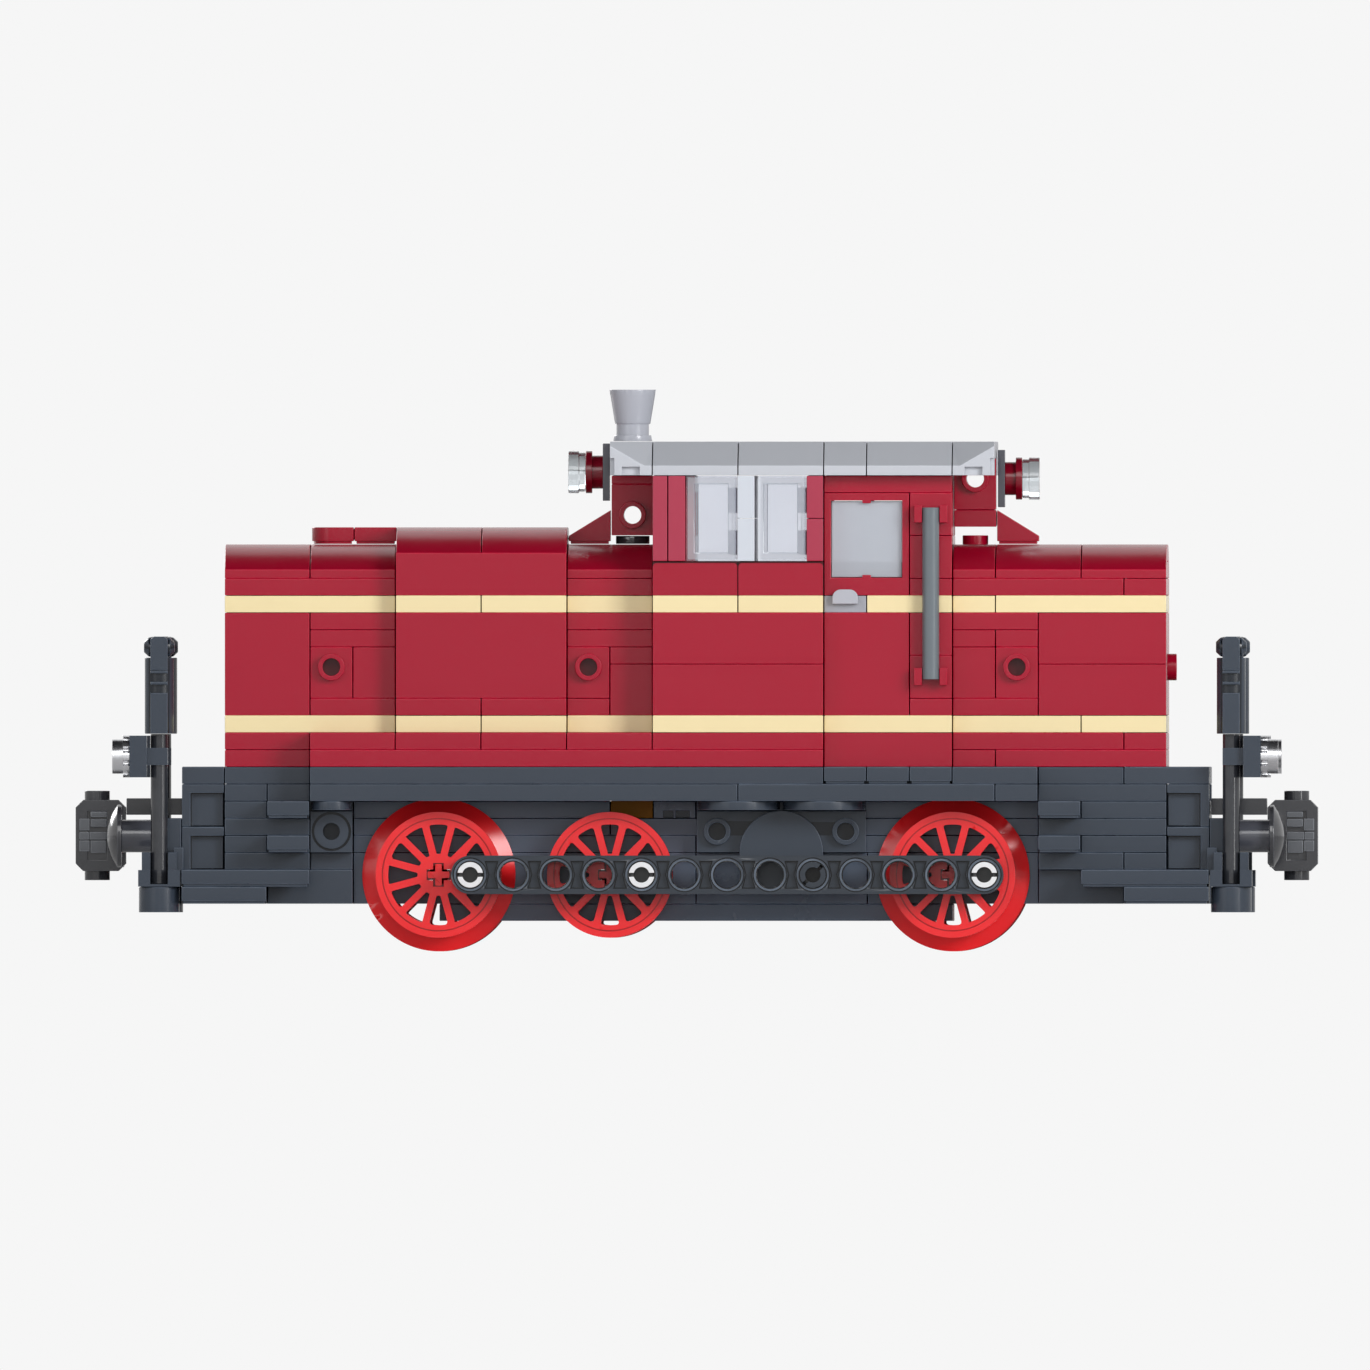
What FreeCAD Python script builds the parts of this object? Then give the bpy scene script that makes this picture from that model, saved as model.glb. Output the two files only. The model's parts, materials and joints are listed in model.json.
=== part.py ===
"""Brick-built toy diesel shunting locomotive, modelled piece by piece in millimetres.

X runs along the locomotive with the long hood at -X, Y runs across it and Z is up.
The origin lies at the middle of the footprint, on the plane that the wheel flanges stand on.
Pieces follow a grid: STUD across and along, PLATE upwards, counted from the frame's underside.
"""
import math
import os
import FreeCAD
import Part
from FreeCAD import Vector

# Grid of the bricks
STUD = 8.0
PLATE = 3.2
SIDE_PLAY = 0.1
SEAM = 0.1
STUD_D = 4.8
STUD_H = 1.7
THIN_WALL = 1.6
CORNER_DEPTH = 2.0
BASE_GROOVE = 0.5
BASE_INSET = 0.35

# Rows of plates, from the frame's underside to the roof
BEAM_ROWS = 3
FRAME_ROWS = 3
BASE_ROWS = 2
WALL_ROWS = 6
COVER_ROWS = 2
SILL_ROWS = 2
WINDOW_ROWS = 5
ROOF_ROWS = 2

# Half widths of the body, in studs
NARROW = 3.0
MIDDLE = 3.5
WIDE = 4.0

# Lengths of the body's sections, in studs
CAB_FRONT = -1
CAB_LENGTH = 4
DOOR_LENGTH = 2
COLUMN_LENGTH = 1
REAR_HOOD_LENGTH = 5
NECK_LENGTH = 2
RAISED_LENGTH = 4
FRONT_HOOD_LENGTH = 4
BOARD_OVERHANG = 1
ROOF_OVERHANG = 1
FACING = 0.4

# Hollow side studs
HOLLOW_STUD_D = 5.0
HOLLOW_STUD_BORE = 3.3
HOLLOW_STUD_DEPTH = 1.2
HOLLOW_STUD_RISE = 1.0

# Wheels and axles
FLANGE_D = 28.6
TREAD_D = 23.5
FLANGE_T = 1.5
FLANGE_EDGE = 0.6
WHEEL_GAP = 0.5
WHEEL_FACE_GAP = 0.3
DISC_T = 4.2
RIM_W = 2.35
SPOKES = 12
SPOKE_W = 1.35
SPOKE_INNER_R = 3.9
CROSS_D = 4.75
CROSS_ARM = 1.9
AXLE_FIT = 0.05
AXLE_HOLE_D = 4.9
CRANK_THROW = 6.0
CRANK_WALL = 1.5
AXLE_STUDS = (-6, -2, 6)
BEAM_SEAMS = (-8, 0, 4, 8)
FLANGED = (True, False, True)
AXLE_ABOVE_FRAME = 5.4
NEAR_CRANK = 0.0
FAR_CRANK = 90.0

# Coupling rods and their pins
PIN_D = 4.8
PIN_FIT = 0.05
PIN_BORE = 2.9
PIN_BORE_DEPTH = 6.0
PIN_SLOT = 0.7
PIN_SLOT_DEPTH = 3.0
SPARE_HOLE = 8
SPARE_SLOT_ANGLE = 45.0
ROD_GAP = 0.2
ROD_T = 7.4
ROD_H = 7.2
ROD_POCKET_W = 2.6
ROD_WAIST = 1.2
ROD_POCKET_H = 5.2
ROD_POCKET_DEPTH = 1.0

# Frame between and beside the wheels
PANEL_T = 4.0
PANEL_H = 7.7
PANEL_PLAY = 0.2
DISC_D = 15.6
FLANGE_PLATE_T = 1.6
FLANGE_PLATE_PLAY = 0.35
PIERCED_H = 7.6
HOLE_RISE = 3.9
COUNTERBORE_D = 7.4
COUNTERBORE_DEPTH = 1.0
SLEEVE_D = 6.4
SLEEVE_BORE = 3.2
SLOT_H = 1.5
SLOT_LONG = 2.8
SLOT_SHORT = 1.95
SLOT_RIB = 0.4
SLOT_DEPTH = 1.0

# Curved covers, roof and small top pieces
COVER_LIP = 1.6
COVER_RUN = 2
ROOF_LIP = 1.8
ROOF_NOTCH_W = 3.3
ROOF_NOTCH_H = 1.6
ROOF_NOTCH_DEPTH = 1.2
ROOF_END_SLOT = 0.8
CORNER_START = 1.4
CORNER_END_DROP = 0.8
WEDGE_LIP = 1.5

# Cab
PANE_T = 1.0
WINDOW_RIM = 1.5
WINDOW_DEPTH = 3.0
FRONT_BAR_W = 2.7
INNER_BAR_W = 3.15
PILLAR_W = 3.2
REAR_BAR_W = 3.05
BAR_GAP = 0.2
CATCH_T = 2.0
CATCH_ROWS = ((1.2, 5.7), (9.0, 13.7))
SILL_T = 2.0
SILL_ROUND = 0.7
SILL_GAP = 0.4
SILL_LEDGE = 0.8
DOOR_SIDE_RIM = 1.25
DOOR_BOTTOM_RIM = 3.3
DOOR_TOP_RIM = 1.4
DOOR_TAB = (1.6, 0.5)
HANDLE_TAB = (4.8, 2.7)
HANDLE_TAB_T = 1.5
HANDLE_TAB_RISE = 1.6
HANDLE_ROUND = 1.6
END_WINDOW_W = 12.0
END_WINDOW_Y = 12.0

# Handrail at the door
BAR_D = 3.2
RAIL_BELOW = 0.5
RAIL_ABOVE = 1.2
BAR_OUT = 2.2
BAR_FIT = 0.05
CLIP_W = 1.5
CLIP_ROWS = 2.5

# Lamps on stub columns and chimney
BRACKET_GAP = 0.25
BRACKET_T = 1.3
BRACKET_H = 10.7
TOP_LAMP_D = 6.2
TOP_LAMP_L = 2.0
TOP_RING_D = 7.9
TOP_RING_T = 1.2
TOP_LENS_T = 3.2
LENS_GROOVE = 0.3
COLUMN_FOOT_D = 6.3
FRONT_LAMP_RISE = 0.6
CHIMNEY_NECK_D = 6.4
CHIMNEY_RING_D = 7.3
CHIMNEY_RING_H = 1.1
CHIMNEY_TOP_D = 8.7
CHIMNEY_WALL = 1.4

# Ends: buffers and couplers
BEAM_T = 2.6
BUFFER_STUD = 2.5
BUFFER_RISE = 3.05
BUFFER_OUT = 14.0
SHANK_D = 6.1
DISH_D = 11.7
DISH_T = 2.8
DISH_EDGE = 0.8
COUPLER_OUT = 20.0
COUPLER_LENGTH = 9.4
COUPLER_DROP = 3.5
COUPLER_H = 13.3
COUPLER_CHAMFER = 1.4
COUPLER_POLE_D = 4.7
COUPLER_POCKET_W = 3.6
COUPLER_POCKET_H = 9.1
COUPLER_POCKET_DEPTH = 0.9
DRAWBAR_RISE = 0.6

# Posts with headlamps at the corners
POST_STUD = 3.5
POST_D = 3.2
POST_FIT = 0.05
POST_START = 0.5
POST_L = 28.0
POST_TOP_W = 5.4
POST_TOP_H = 14.2
POST_PLATE_T = 0.9
POST_PLATE_H = 7.6
POST_SLOT_H = 1.6
POST_RIB_H = 0.5
POST_RIBS = 2
POST_NECK_W = 3.2
LOBE_D = 3.9
LOBE_GAP = 1.2
LOBE_T = 1.65
KNOB_CHAMFER = 0.6
FOOT_PLAY = 0.2
FOOT_H = 4.8
PRONG_W = 1.6
LAMP_BLOCK_T = 3.2
LAMP_BLOCK_OUT = 2.3
LAMP_DROP = 4.2
LAMP_LENS_D = 6.4
LAMP_RING_D = 7.9
LAMP_RING_T = 2.0
LAMP_LENS_T = 2.0

AXLE_Z = FLANGE_D / 2
FRAME_BOTTOM = AXLE_Z - AXLE_ABOVE_FRAME
WHEEL_INNER = 2 * STUD + WHEEL_GAP - SIDE_PLAY
WHEEL_OUTER = 3 * STUD - WHEEL_FACE_GAP + SIDE_PLAY
SPOKE_OUTER_R = TREAD_D / 2 - RIM_W
ROD_INNER = 3 * STUD + ROD_GAP
ROD_OUTER = ROD_INNER + ROD_T
ROD_HOLE_D = PIN_D + 2 * PIN_FIT
POST_OUT = STUD / 2 + SIDE_PLAY
FOOT_D = STUD - 2 * FOOT_PLAY

# Plate levels that the rows add up to
FRAME_TOP = BEAM_ROWS + FRAME_ROWS
DECK = FRAME_TOP + 1
BASE = DECK + 1
STRIPE = BASE + BASE_ROWS
WALL = STRIPE + 1
UPPER = WALL + WALL_ROWS
EAVES = UPPER + 1
COVERS = EAVES + 1
HOOD_TOP = COVERS + COVER_ROWS
RAISED_TOP = HOOD_TOP + 1
SILL = EAVES + SILL_ROWS
ROOF = SILL + WINDOW_ROWS
ROOF_TOP = ROOF + ROOF_ROWS

# Stud lines that the sections add up to
CAB_REAR = CAB_FRONT + CAB_LENGTH
DOOR_REAR = CAB_REAR + DOOR_LENGTH
COLUMN_REAR = DOOR_REAR + COLUMN_LENGTH
REAR_END = COLUMN_REAR + REAR_HOOD_LENGTH
BOARD_END = REAR_END + BOARD_OVERHANG
BOARD_FRONT = BEAM_SEAMS[0] - 1
BOARD_REAR = BEAM_SEAMS[-1]
RAISED_REAR = CAB_FRONT - NECK_LENGTH
RAISED_FRONT = RAISED_REAR - RAISED_LENGTH
HOOD_FRONT = RAISED_FRONT - FRONT_HOOD_LENGTH
ROOF_FRONT = CAB_FRONT - ROOF_OVERHANG
ROOF_REAR = COLUMN_REAR + ROOF_OVERHANG

ACROSS = Vector(0, 1, 0)
ALONG = Vector(1, 0, 0)
UP = Vector(0, 0, 1)
NODES = {}


def keep(node, shapes):
    """Add shapes to the named node."""
    NODES.setdefault(node, []).extend(shapes)


def level(count):
    """Height of a plate level above the wheels' resting plane."""
    return FRAME_BOTTOM + PLATE * count


def box(x0, x1, y0, y1, z0, z1):
    """Box between three pairs of coordinates in millimetres."""
    return Part.makeBox(x1 - x0, y1 - y0, z1 - z0, Vector(x0, y0, z0))


def block(x0, x1, y0, y1, low, high):
    """Brick between stud lines and plate levels, with its moulding play."""
    return box(STUD * x0 + SIDE_PLAY, STUD * x1 - SIDE_PLAY, STUD * y0 + SIDE_PLAY,
               STUD * y1 - SIDE_PLAY, level(low), level(high) - SEAM)


def tile(x0, x1, y0, y1, z0, z1):
    """Smooth tile in millimetres, with the groove around its base."""
    foot = box(x0 + BASE_INSET, x1 - BASE_INSET, y0 + BASE_INSET, y1 - BASE_INSET, z0, z0 + BASE_GROOVE)
    return box(x0, x1, y0, y1, z0 + BASE_GROOVE, z1).fuse(foot)


def rod_along(axis, diameter, start, length):
    """Cylinder from start along a direction."""
    return Part.makeCylinder(diameter / 2, length, start, axis)


def tube_along(axis, outer, inner, start, length):
    """Ring or tube from start along a direction."""
    return rod_along(axis, outer, start, length).cut(rod_along(axis, inner, start, length))


def turned(profile, start, direction):
    """Solid of revolution from (distance, radius) pairs, measured from start along a direction."""
    side = ALONG if abs(direction.z) > 0.5 else UP
    points = [start + direction * along + side * radius for along, radius in profile]
    return Part.Face(Part.makePolygon(points + points[:1])).revolve(start, direction, 360)


def both_sides(shape):
    """The shape and its mirror image across the length."""
    return [shape, shape.mirror(Vector(0, 0, 0), ACROSS)]


def both_ends(shapes):
    """Shapes and their mirror images at the other end."""
    return shapes + [shape.mirror(Vector(0, 0, 0), ALONG) for shape in shapes]


def course(low, high, seams, half_width, depth=1.0):
    """One course of bricks along both sides, split at the seams, in studs."""
    bricks = []
    for x0, x1 in zip(seams, seams[1:]):
        bricks += both_sides(block(x0, x1, -half_width, -half_width + depth, low, high))
    return bricks


def tile_course(low, high, seams, half_width):
    """One course of smooth tiles along both sides, split at the seams, in studs."""
    tiles = []
    for x0, x1 in zip(seams, seams[1:]):
        tiles += both_sides(tile(STUD * x0 + SIDE_PLAY, STUD * x1 - SIDE_PLAY, -STUD * half_width + SIDE_PLAY,
                                 -STUD * (half_width - 1) - SIDE_PLAY, level(low), level(high) - SEAM))
    return tiles


def cross_course(low, high, x0, x1, half_width):
    """One brick across the body between two stud lines."""
    return [block(x0, x1, -half_width, half_width, low, high)]


def extruded(points, direction):
    """Solid from a closed polygon of vectors and an extrusion vector."""
    return Part.Face(Part.makePolygon(points + points[:1])).extrude(direction)


def below_plane(solid, first, second, third):
    """The part of a solid that lies under the plane through three points."""
    along = (second - first).normalize()
    normal = along.cross(third - first).normalize()
    if normal.z < 0:
        normal = normal * -1
    across = normal.cross(along)
    reach = 10 * STUD
    corners = [first + along * a + across * b for a, b in
               ((-reach, -reach), (reach, -reach), (reach, reach), (-reach, reach))]
    return solid.cut(extruded(corners, normal * reach))


def crowned(x0, x1, half_width, low, high):
    """Curved cover whose top falls to a low lip at the near side."""
    outer = -STUD * half_width + SIDE_PLAY
    inner = -STUD * (half_width - COVER_RUN) - SIDE_PLAY
    bottom, top = level(low), level(high) - SEAM
    run, rise = inner - outer, top - bottom - COVER_LIP
    radius = (run * run + rise * rise) / (2 * rise)
    angle = math.asin(run / radius) / 2
    left = STUD * x0 + SIDE_PLAY
    lip = Vector(left, outer, bottom + COVER_LIP)
    middle = Vector(left, inner - radius * math.sin(angle), top - radius * (1 - math.cos(angle)))
    crest = Vector(left, inner, top)
    edges = [Part.Arc(lip, middle, crest).toShape(),
             Part.makeLine(crest, Vector(left, inner, bottom)),
             Part.makeLine(Vector(left, inner, bottom), Vector(left, outer, bottom)),
             Part.makeLine(Vector(left, outer, bottom), lip)]
    return Part.Face(Part.Wire(edges)).extrude(Vector(STUD * (x1 - x0) - 2 * SIDE_PLAY, 0, 0))


def covers(seams, half_width, low, high):
    """Curved covers along both sides with the flat strip between them."""
    shapes = []
    for x0, x1 in zip(seams, seams[1:]):
        shapes += both_sides(crowned(x0, x1, half_width, low, high))
        shapes.append(block(x0, x1, -half_width + COVER_RUN, half_width - COVER_RUN, high - 1, high))
    return shapes


def hollow_stud(brick, centre, direction):
    """A brick with a hollow stud that stands out from its face at the centre point."""
    start = centre + direction * STUD_H
    raised = brick.fuse(rod_along(direction * -1, HOLLOW_STUD_D, start, STUD_H + SIDE_PLAY))
    return raised.cut(rod_along(direction * -1, HOLLOW_STUD_BORE, start, STUD_H + HOLLOW_STUD_DEPTH))


def studded_brick(x0, half_width, low, high):
    """Brick one stud long with a hollow stud on its outer face, on both sides."""
    brick = block(x0, x0 + 1, -half_width, -half_width + 1, low, high)
    height = (level(low) + level(high)) / 2 + HOLLOW_STUD_RISE
    centre = Vector(STUD * (x0 + 0.5), -STUD * half_width + SIDE_PLAY, height)
    return both_sides(hollow_stud(brick, centre, ACROSS * -1))


def running_board():
    """Two layers of plates under the body, open above the wheels."""
    keep("running_board_deck", cross_course(DECK, BASE, -BOARD_END, HOOD_FRONT, NARROW)
         + cross_course(DECK, BASE, HOOD_FRONT, BOARD_FRONT, NARROW)
         + cross_course(DECK, BASE, BOARD_FRONT, CAB_REAR, WIDE)
         + cross_course(DECK, BASE, CAB_REAR, COLUMN_REAR, NARROW)
         + cross_course(DECK, BASE, COLUMN_REAR, BOARD_REAR, WIDE)
         + cross_course(DECK, BASE, BOARD_REAR, REAR_END - 1, NARROW)
         + cross_course(DECK, BASE, REAR_END - 1, BOARD_END, NARROW)
         + tile_course(DECK, BASE, [CAB_REAR, CAB_REAR + 1, DOOR_REAR, COLUMN_REAR], WIDE))
    keep("running_board_edges", course(FRAME_TOP, DECK, [BOARD_FRONT, 1, BOARD_REAR - 1, BOARD_REAR], WIDE)
         + course(FRAME_TOP, DECK, [HOOD_FRONT, HOOD_FRONT + 1, BOARD_FRONT], NARROW)
         + course(FRAME_TOP, DECK, [BOARD_REAR, REAR_END], NARROW)
         + cross_course(FRAME_TOP, DECK, HOOD_FRONT, 0, 2) + cross_course(FRAME_TOP, DECK, 0, REAR_END, 2))


def corner_panel(low_height, high_height):
    """Panel at a frame corner with a shallow recess on its outer face."""
    end = -STUD * BOARD_END
    x0, x1 = end + SIDE_PLAY, end + STUD - SIDE_PLAY
    y0, y1 = -STUD * NARROW + SIDE_PLAY, -STUD * (NARROW - 1) - SIDE_PLAY
    z0, z1 = low_height, high_height - SEAM
    hollow = box(x0 + THIN_WALL, x1 + 1, y0 - 1, y0 + CORNER_DEPTH, z0 - 1, z1 - THIN_WALL)
    return box(x0, x1, y0, y1, z0, z1).cut(hollow)


def frame_ends():
    """Corner panels, courses and steps below the running board at both ends."""
    middle = (level(2) + level(DECK)) / 2
    panels = both_sides(corner_panel(level(2), middle)) + both_sides(corner_panel(middle, level(DECK)))
    keep("frame_corner_panels", both_ends(panels))
    core = cross_course(BEAM_ROWS, FRAME_TOP, -BOARD_END, BEAM_SEAMS[0], 2)
    core += course(0, 2, [-BOARD_END, BOARD_FRONT - 1], NARROW, 2)
    keep("frame_end_courses", both_ends(core))
    top, low = FRAME_TOP - 1, BEAM_ROWS
    front, rear, end = BOARD_FRONT, BOARD_REAR, BOARD_END - 1
    keep("frame_end_courses", course(top, top + 1, [-end, front - 1, front], NARROW)
         + course(top - 1, top, [-end, front], NARROW)
         + course(low, low + 1, [-end, front - 1, front], NARROW)
         + course(low - 1, low, [-end, front], NARROW)
         + course(0, 2, [front - 1, front + 1], MIDDLE - 1, 1.5)
         + course(2, low, [front, front + 1], MIDDLE - 1, 1.5))
    keep("frame_end_courses", course(top, top + 1, [rear, rear + 1, end], NARROW)
         + course(top - 1, top, [rear, end], NARROW)
         + course(low, low + 1, [rear, rear + 1, end], NARROW)
         + course(low - 1, low, [rear, rear + 2, end], NARROW)
         + course(0, 2, [rear, rear + 2], MIDDLE - 1, 1.5))
    steps = tile_course(top, top + 1, [front - 1, front], WIDE) + tile_course(low, low + 1, [front - 1, front], WIDE)
    steps += tile_course(top, top + 1, [rear, rear + 1], WIDE) + tile_course(low, low + 1, [rear, rear + 1], WIDE)
    keep("entry_steps", steps + both_ends(tile_course(1, 2, [-BOARD_END, front], WIDE)
                                          + tile_course(0, 1, [-BOARD_END, front - 1], WIDE)))


def pierced_block(x0):
    """Square block beside the front wheels with a sleeved round hole."""
    brick = block(x0, x0 + 1, -NARROW, -2, BEAM_ROWS, FRAME_TOP)
    bottom = level(BEAM_ROWS)
    brick = brick.common(box(STUD * x0, STUD * (x0 + 1), -STUD * WIDE, 0, bottom, bottom + PIERCED_H))
    face = Vector(STUD * (x0 + 0.5), -STUD * NARROW, bottom + HOLE_RISE)
    brick = brick.cut(rod_along(ACROSS, COUNTERBORE_D, face, COUNTERBORE_DEPTH + SIDE_PLAY))
    sleeve = tube_along(ACROSS, SLEEVE_D, SLEEVE_BORE, face + Vector(0, SIDE_PLAY, 0), COUNTERBORE_DEPTH + 1)
    return brick.fuse(sleeve).cut(rod_along(ACROSS, SLEEVE_BORE, face, STUD))


def round_flange(x0, x1):
    """Thin plate under the running board whose front is a half circle."""
    left, right = STUD * x0 + FLANGE_PLATE_PLAY, STUD * x1 - FLANGE_PLATE_PLAY
    radius, back, top = (right - left) / 2, -STUD * 2, level(FRAME_TOP) - SEAM
    start = -STUD * WIDE + SIDE_PLAY + radius
    centre = (left + right) / 2
    base = top - FLANGE_PLATE_T
    ends = [Vector(left, start, base), Vector(centre, start - radius, base), Vector(right, start, base)]
    edges = [Part.Arc(*ends).toShape(),
             Part.makeLine(ends[2], Vector(right, back, base)),
             Part.makeLine(Vector(right, back, base), Vector(left, back, base)),
             Part.makeLine(Vector(left, back, base), ends[0])]
    return Part.Face(Part.Wire(edges)).extrude(UP * FLANGE_PLATE_T)


def slotted_plate():
    """Plate between the wheels with two rectangular slots in its face."""
    plate = block(-1, 0, -2, -1, FRAME_TOP - 1, FRAME_TOP)
    face, low = -2 * STUD, level(FRAME_TOP - 1) - SEAM
    rib = -STUD / 2
    for x0, x1 in ((rib - SLOT_RIB / 2 - SLOT_SHORT, rib - SLOT_RIB / 2), (rib + SLOT_RIB / 2, rib + SLOT_LONG)):
        plate = plate.cut(box(x0, x1, face, face + SLOT_DEPTH, low, low + SLOT_H))
    return plate


def frame_sides():
    """Beams that carry the axles, with the pieces between the wheels."""
    beams = []
    for y0 in (-2, 1):
        for x0, x1 in zip(BEAM_SEAMS, BEAM_SEAMS[1:]):
            beam = block(x0, x1, y0, y0 + 1, 0, BEAM_ROWS)
            for stud in AXLE_STUDS:
                if x0 < stud < x1:
                    beam = beam.cut(rod_along(ACROSS, AXLE_HOLE_D, Vector(STUD * stud, STUD * y0, AXLE_Z), STUD))
            beams.append(beam)
    keep("axle_beams", beams)
    low, high, top = BEAM_ROWS, FRAME_TOP - 1, FRAME_TOP
    front, rear = BEAM_SEAMS[0], BEAM_SEAMS[-1]
    keep("frame_courses", course(low, low + 1, [front, 0, rear], 2) + course(low + 1, high, [front, -2, rear], 2)
         + course(high, top, [front, -2], 2) + course(high, top, [0, rear], 2) + both_sides(slotted_plate())
         + cross_course(-1, 0, -6, 6, 2))
    keep("frame_brown_blocks", course(high, top, [-2, -1], 2))
    keep("frame_pierced_blocks", both_sides(pierced_block(BOARD_FRONT)))
    keep("frame_flange_plates", both_sides(round_flange(0, 2)) + both_sides(round_flange(2, 4))
         + both_sides(round_flange(BOARD_FRONT, BOARD_FRONT + 1)))
    face, bottom = -2 * STUD - PANEL_T, level(low)
    panel = box(PANEL_PLAY, 4 * STUD - PANEL_PLAY, face, -2 * STUD, bottom, bottom + PANEL_H)
    for stud in (0.5, 3.5):
        panel = hollow_stud(panel, Vector(STUD * stud, face, bottom + HOLE_RISE), ACROSS * -1)
    disc = rod_along(ACROSS, DISC_D, Vector(2 * STUD, face - PLATE, bottom), PLATE - SEAM)
    keep("frame_stud_panels", both_sides(panel) + both_sides(disc))


def spoke_opening(angle):
    """Gap between two spokes, in a plane across Y, centred on an angle."""
    half = math.pi / SPOKES
    offset = SPOKE_W / 2

    def corner(radius, side):
        reach = math.sqrt(radius * radius - offset * offset)
        a = angle + side * half
        return Vector(reach * math.cos(a) + side * offset * math.sin(a), 0,
                      reach * math.sin(a) - side * offset * math.cos(a))

    def top(radius):
        return Vector(radius * math.cos(angle), 0, radius * math.sin(angle))

    a, b = corner(SPOKE_INNER_R, -1), corner(SPOKE_OUTER_R, -1)
    c, d = corner(SPOKE_OUTER_R, 1), corner(SPOKE_INNER_R, 1)
    edges = [Part.makeLine(a, b), Part.Arc(b, top(SPOKE_OUTER_R), c).toShape(),
             Part.makeLine(c, d), Part.Arc(d, top(SPOKE_INNER_R), a).toShape()]
    return Part.Face(Part.Wire(edges)).extrude(Vector(0, DISC_T, 0))


def cross_prism(size, arm, start, length):
    """Cross-shaped bar along Y with rounded tips, centred on the axle line."""
    wide = box(-size / 2, size / 2, 0, length, -arm / 2, arm / 2)
    tall = box(-arm / 2, arm / 2, 0, length, -size / 2, size / 2)
    bar = wide.fuse(tall).removeSplitter()
    bar = bar.common(rod_along(ACROSS, size, Vector(0, 0, 0), length))
    bar.translate(start)
    return bar


def near_wheel(flanged, crank_angle):
    """Spoked wheel at the near side, its axle on the Y axis."""
    face, back = -WHEEL_OUTER, -WHEEL_INNER
    profile = [(0, SPOKE_OUTER_R), (0, TREAD_D / 2), (back - face - FLANGE_T, TREAD_D / 2)]
    profile += [(back - face - FLANGE_EDGE, FLANGE_D / 2), (back - face, FLANGE_D / 2)] if flanged else \
        [(back - face, TREAD_D / 2)]
    rim = turned(profile + [(back - face, SPOKE_OUTER_R)], Vector(0, face, 0), ACROSS)
    disc = rod_along(ACROSS, 2 * SPOKE_OUTER_R + RIM_W, Vector(0, face, 0), DISC_T)
    crank = math.radians(crank_angle)
    openings = []
    for index in range(SPOKES):
        angle = 2 * math.pi * index / SPOKES
        if abs(math.cos(angle - crank) - 1) > 0.01:
            opening = spoke_opening(angle)
            opening.translate(Vector(0, face, 0))
            openings.append(opening)
    disc = disc.cut(Part.makeCompound(openings))
    pin_at = Vector(CRANK_THROW * math.cos(crank), face, CRANK_THROW * math.sin(crank))
    hub = rod_along(ACROSS, 2 * SPOKE_INNER_R, Vector(0, face, 0), back - face)
    boss = rod_along(ACROSS, ROD_HOLE_D + 2 * CRANK_WALL, pin_at, DISC_T)
    wheel = rim.fuse([disc, hub, boss])
    bore = cross_prism(CROSS_D + 2 * AXLE_FIT, CROSS_ARM + 2 * AXLE_FIT, Vector(0, face, 0), back - face)
    pin_hole = rod_along(ACROSS, ROD_HOLE_D, pin_at, DISC_T)
    return wheel.cut([bore, pin_hole]).removeSplitter()


def slotted_pin(start, length, slot_angle):
    """Pin along Y with a bore and a slot at its outer end."""
    pin = rod_along(ACROSS, PIN_D, start, length)
    pin = pin.cut(rod_along(ACROSS, PIN_BORE, start, PIN_BORE_DEPTH))
    slot = box(start.x - PIN_D, start.x + PIN_D, start.y, start.y + PIN_SLOT_DEPTH,
               start.z - PIN_SLOT / 2, start.z + PIN_SLOT / 2)
    slot.rotate(start, ACROSS, -slot_angle)
    return pin.cut(slot)


def near_pin(crank_angle):
    """Crank pin that joins the near wheel to its rod."""
    crank = math.radians(crank_angle)
    start = Vector(CRANK_THROW * math.cos(crank), -ROD_OUTER, CRANK_THROW * math.sin(crank))
    return slotted_pin(start, ROD_OUTER - WHEEL_OUTER + DISC_T, 0.0)


def far_of(maker, *values):
    """The same maker's piece mirrored to the far side."""
    return maker(*values).mirror(Vector(0, 0, 0), ACROSS)


def wheelsets():
    """Three wheelsets, each with two wheels, an axle and two crank pins."""
    for name, stud, flanged in zip(("front", "middle", "rear"), AXLE_STUDS, FLANGED):
        place = Vector(STUD * stud, 0, AXLE_Z)
        wheels = [near_wheel(flanged, NEAR_CRANK), far_of(near_wheel, flanged, FAR_CRANK)]
        axle = cross_prism(CROSS_D, CROSS_ARM, Vector(0, -WHEEL_OUTER, 0), 2 * WHEEL_OUTER)
        pins = [near_pin(NEAR_CRANK), far_of(near_pin, FAR_CRANK)]
        for shape in wheels + [axle] + pins:
            shape.translate(place)
        keep(name + "_wheels", wheels)
        keep(name + "_axle", [axle])
        keep(name + "_crank_pins", pins)


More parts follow.
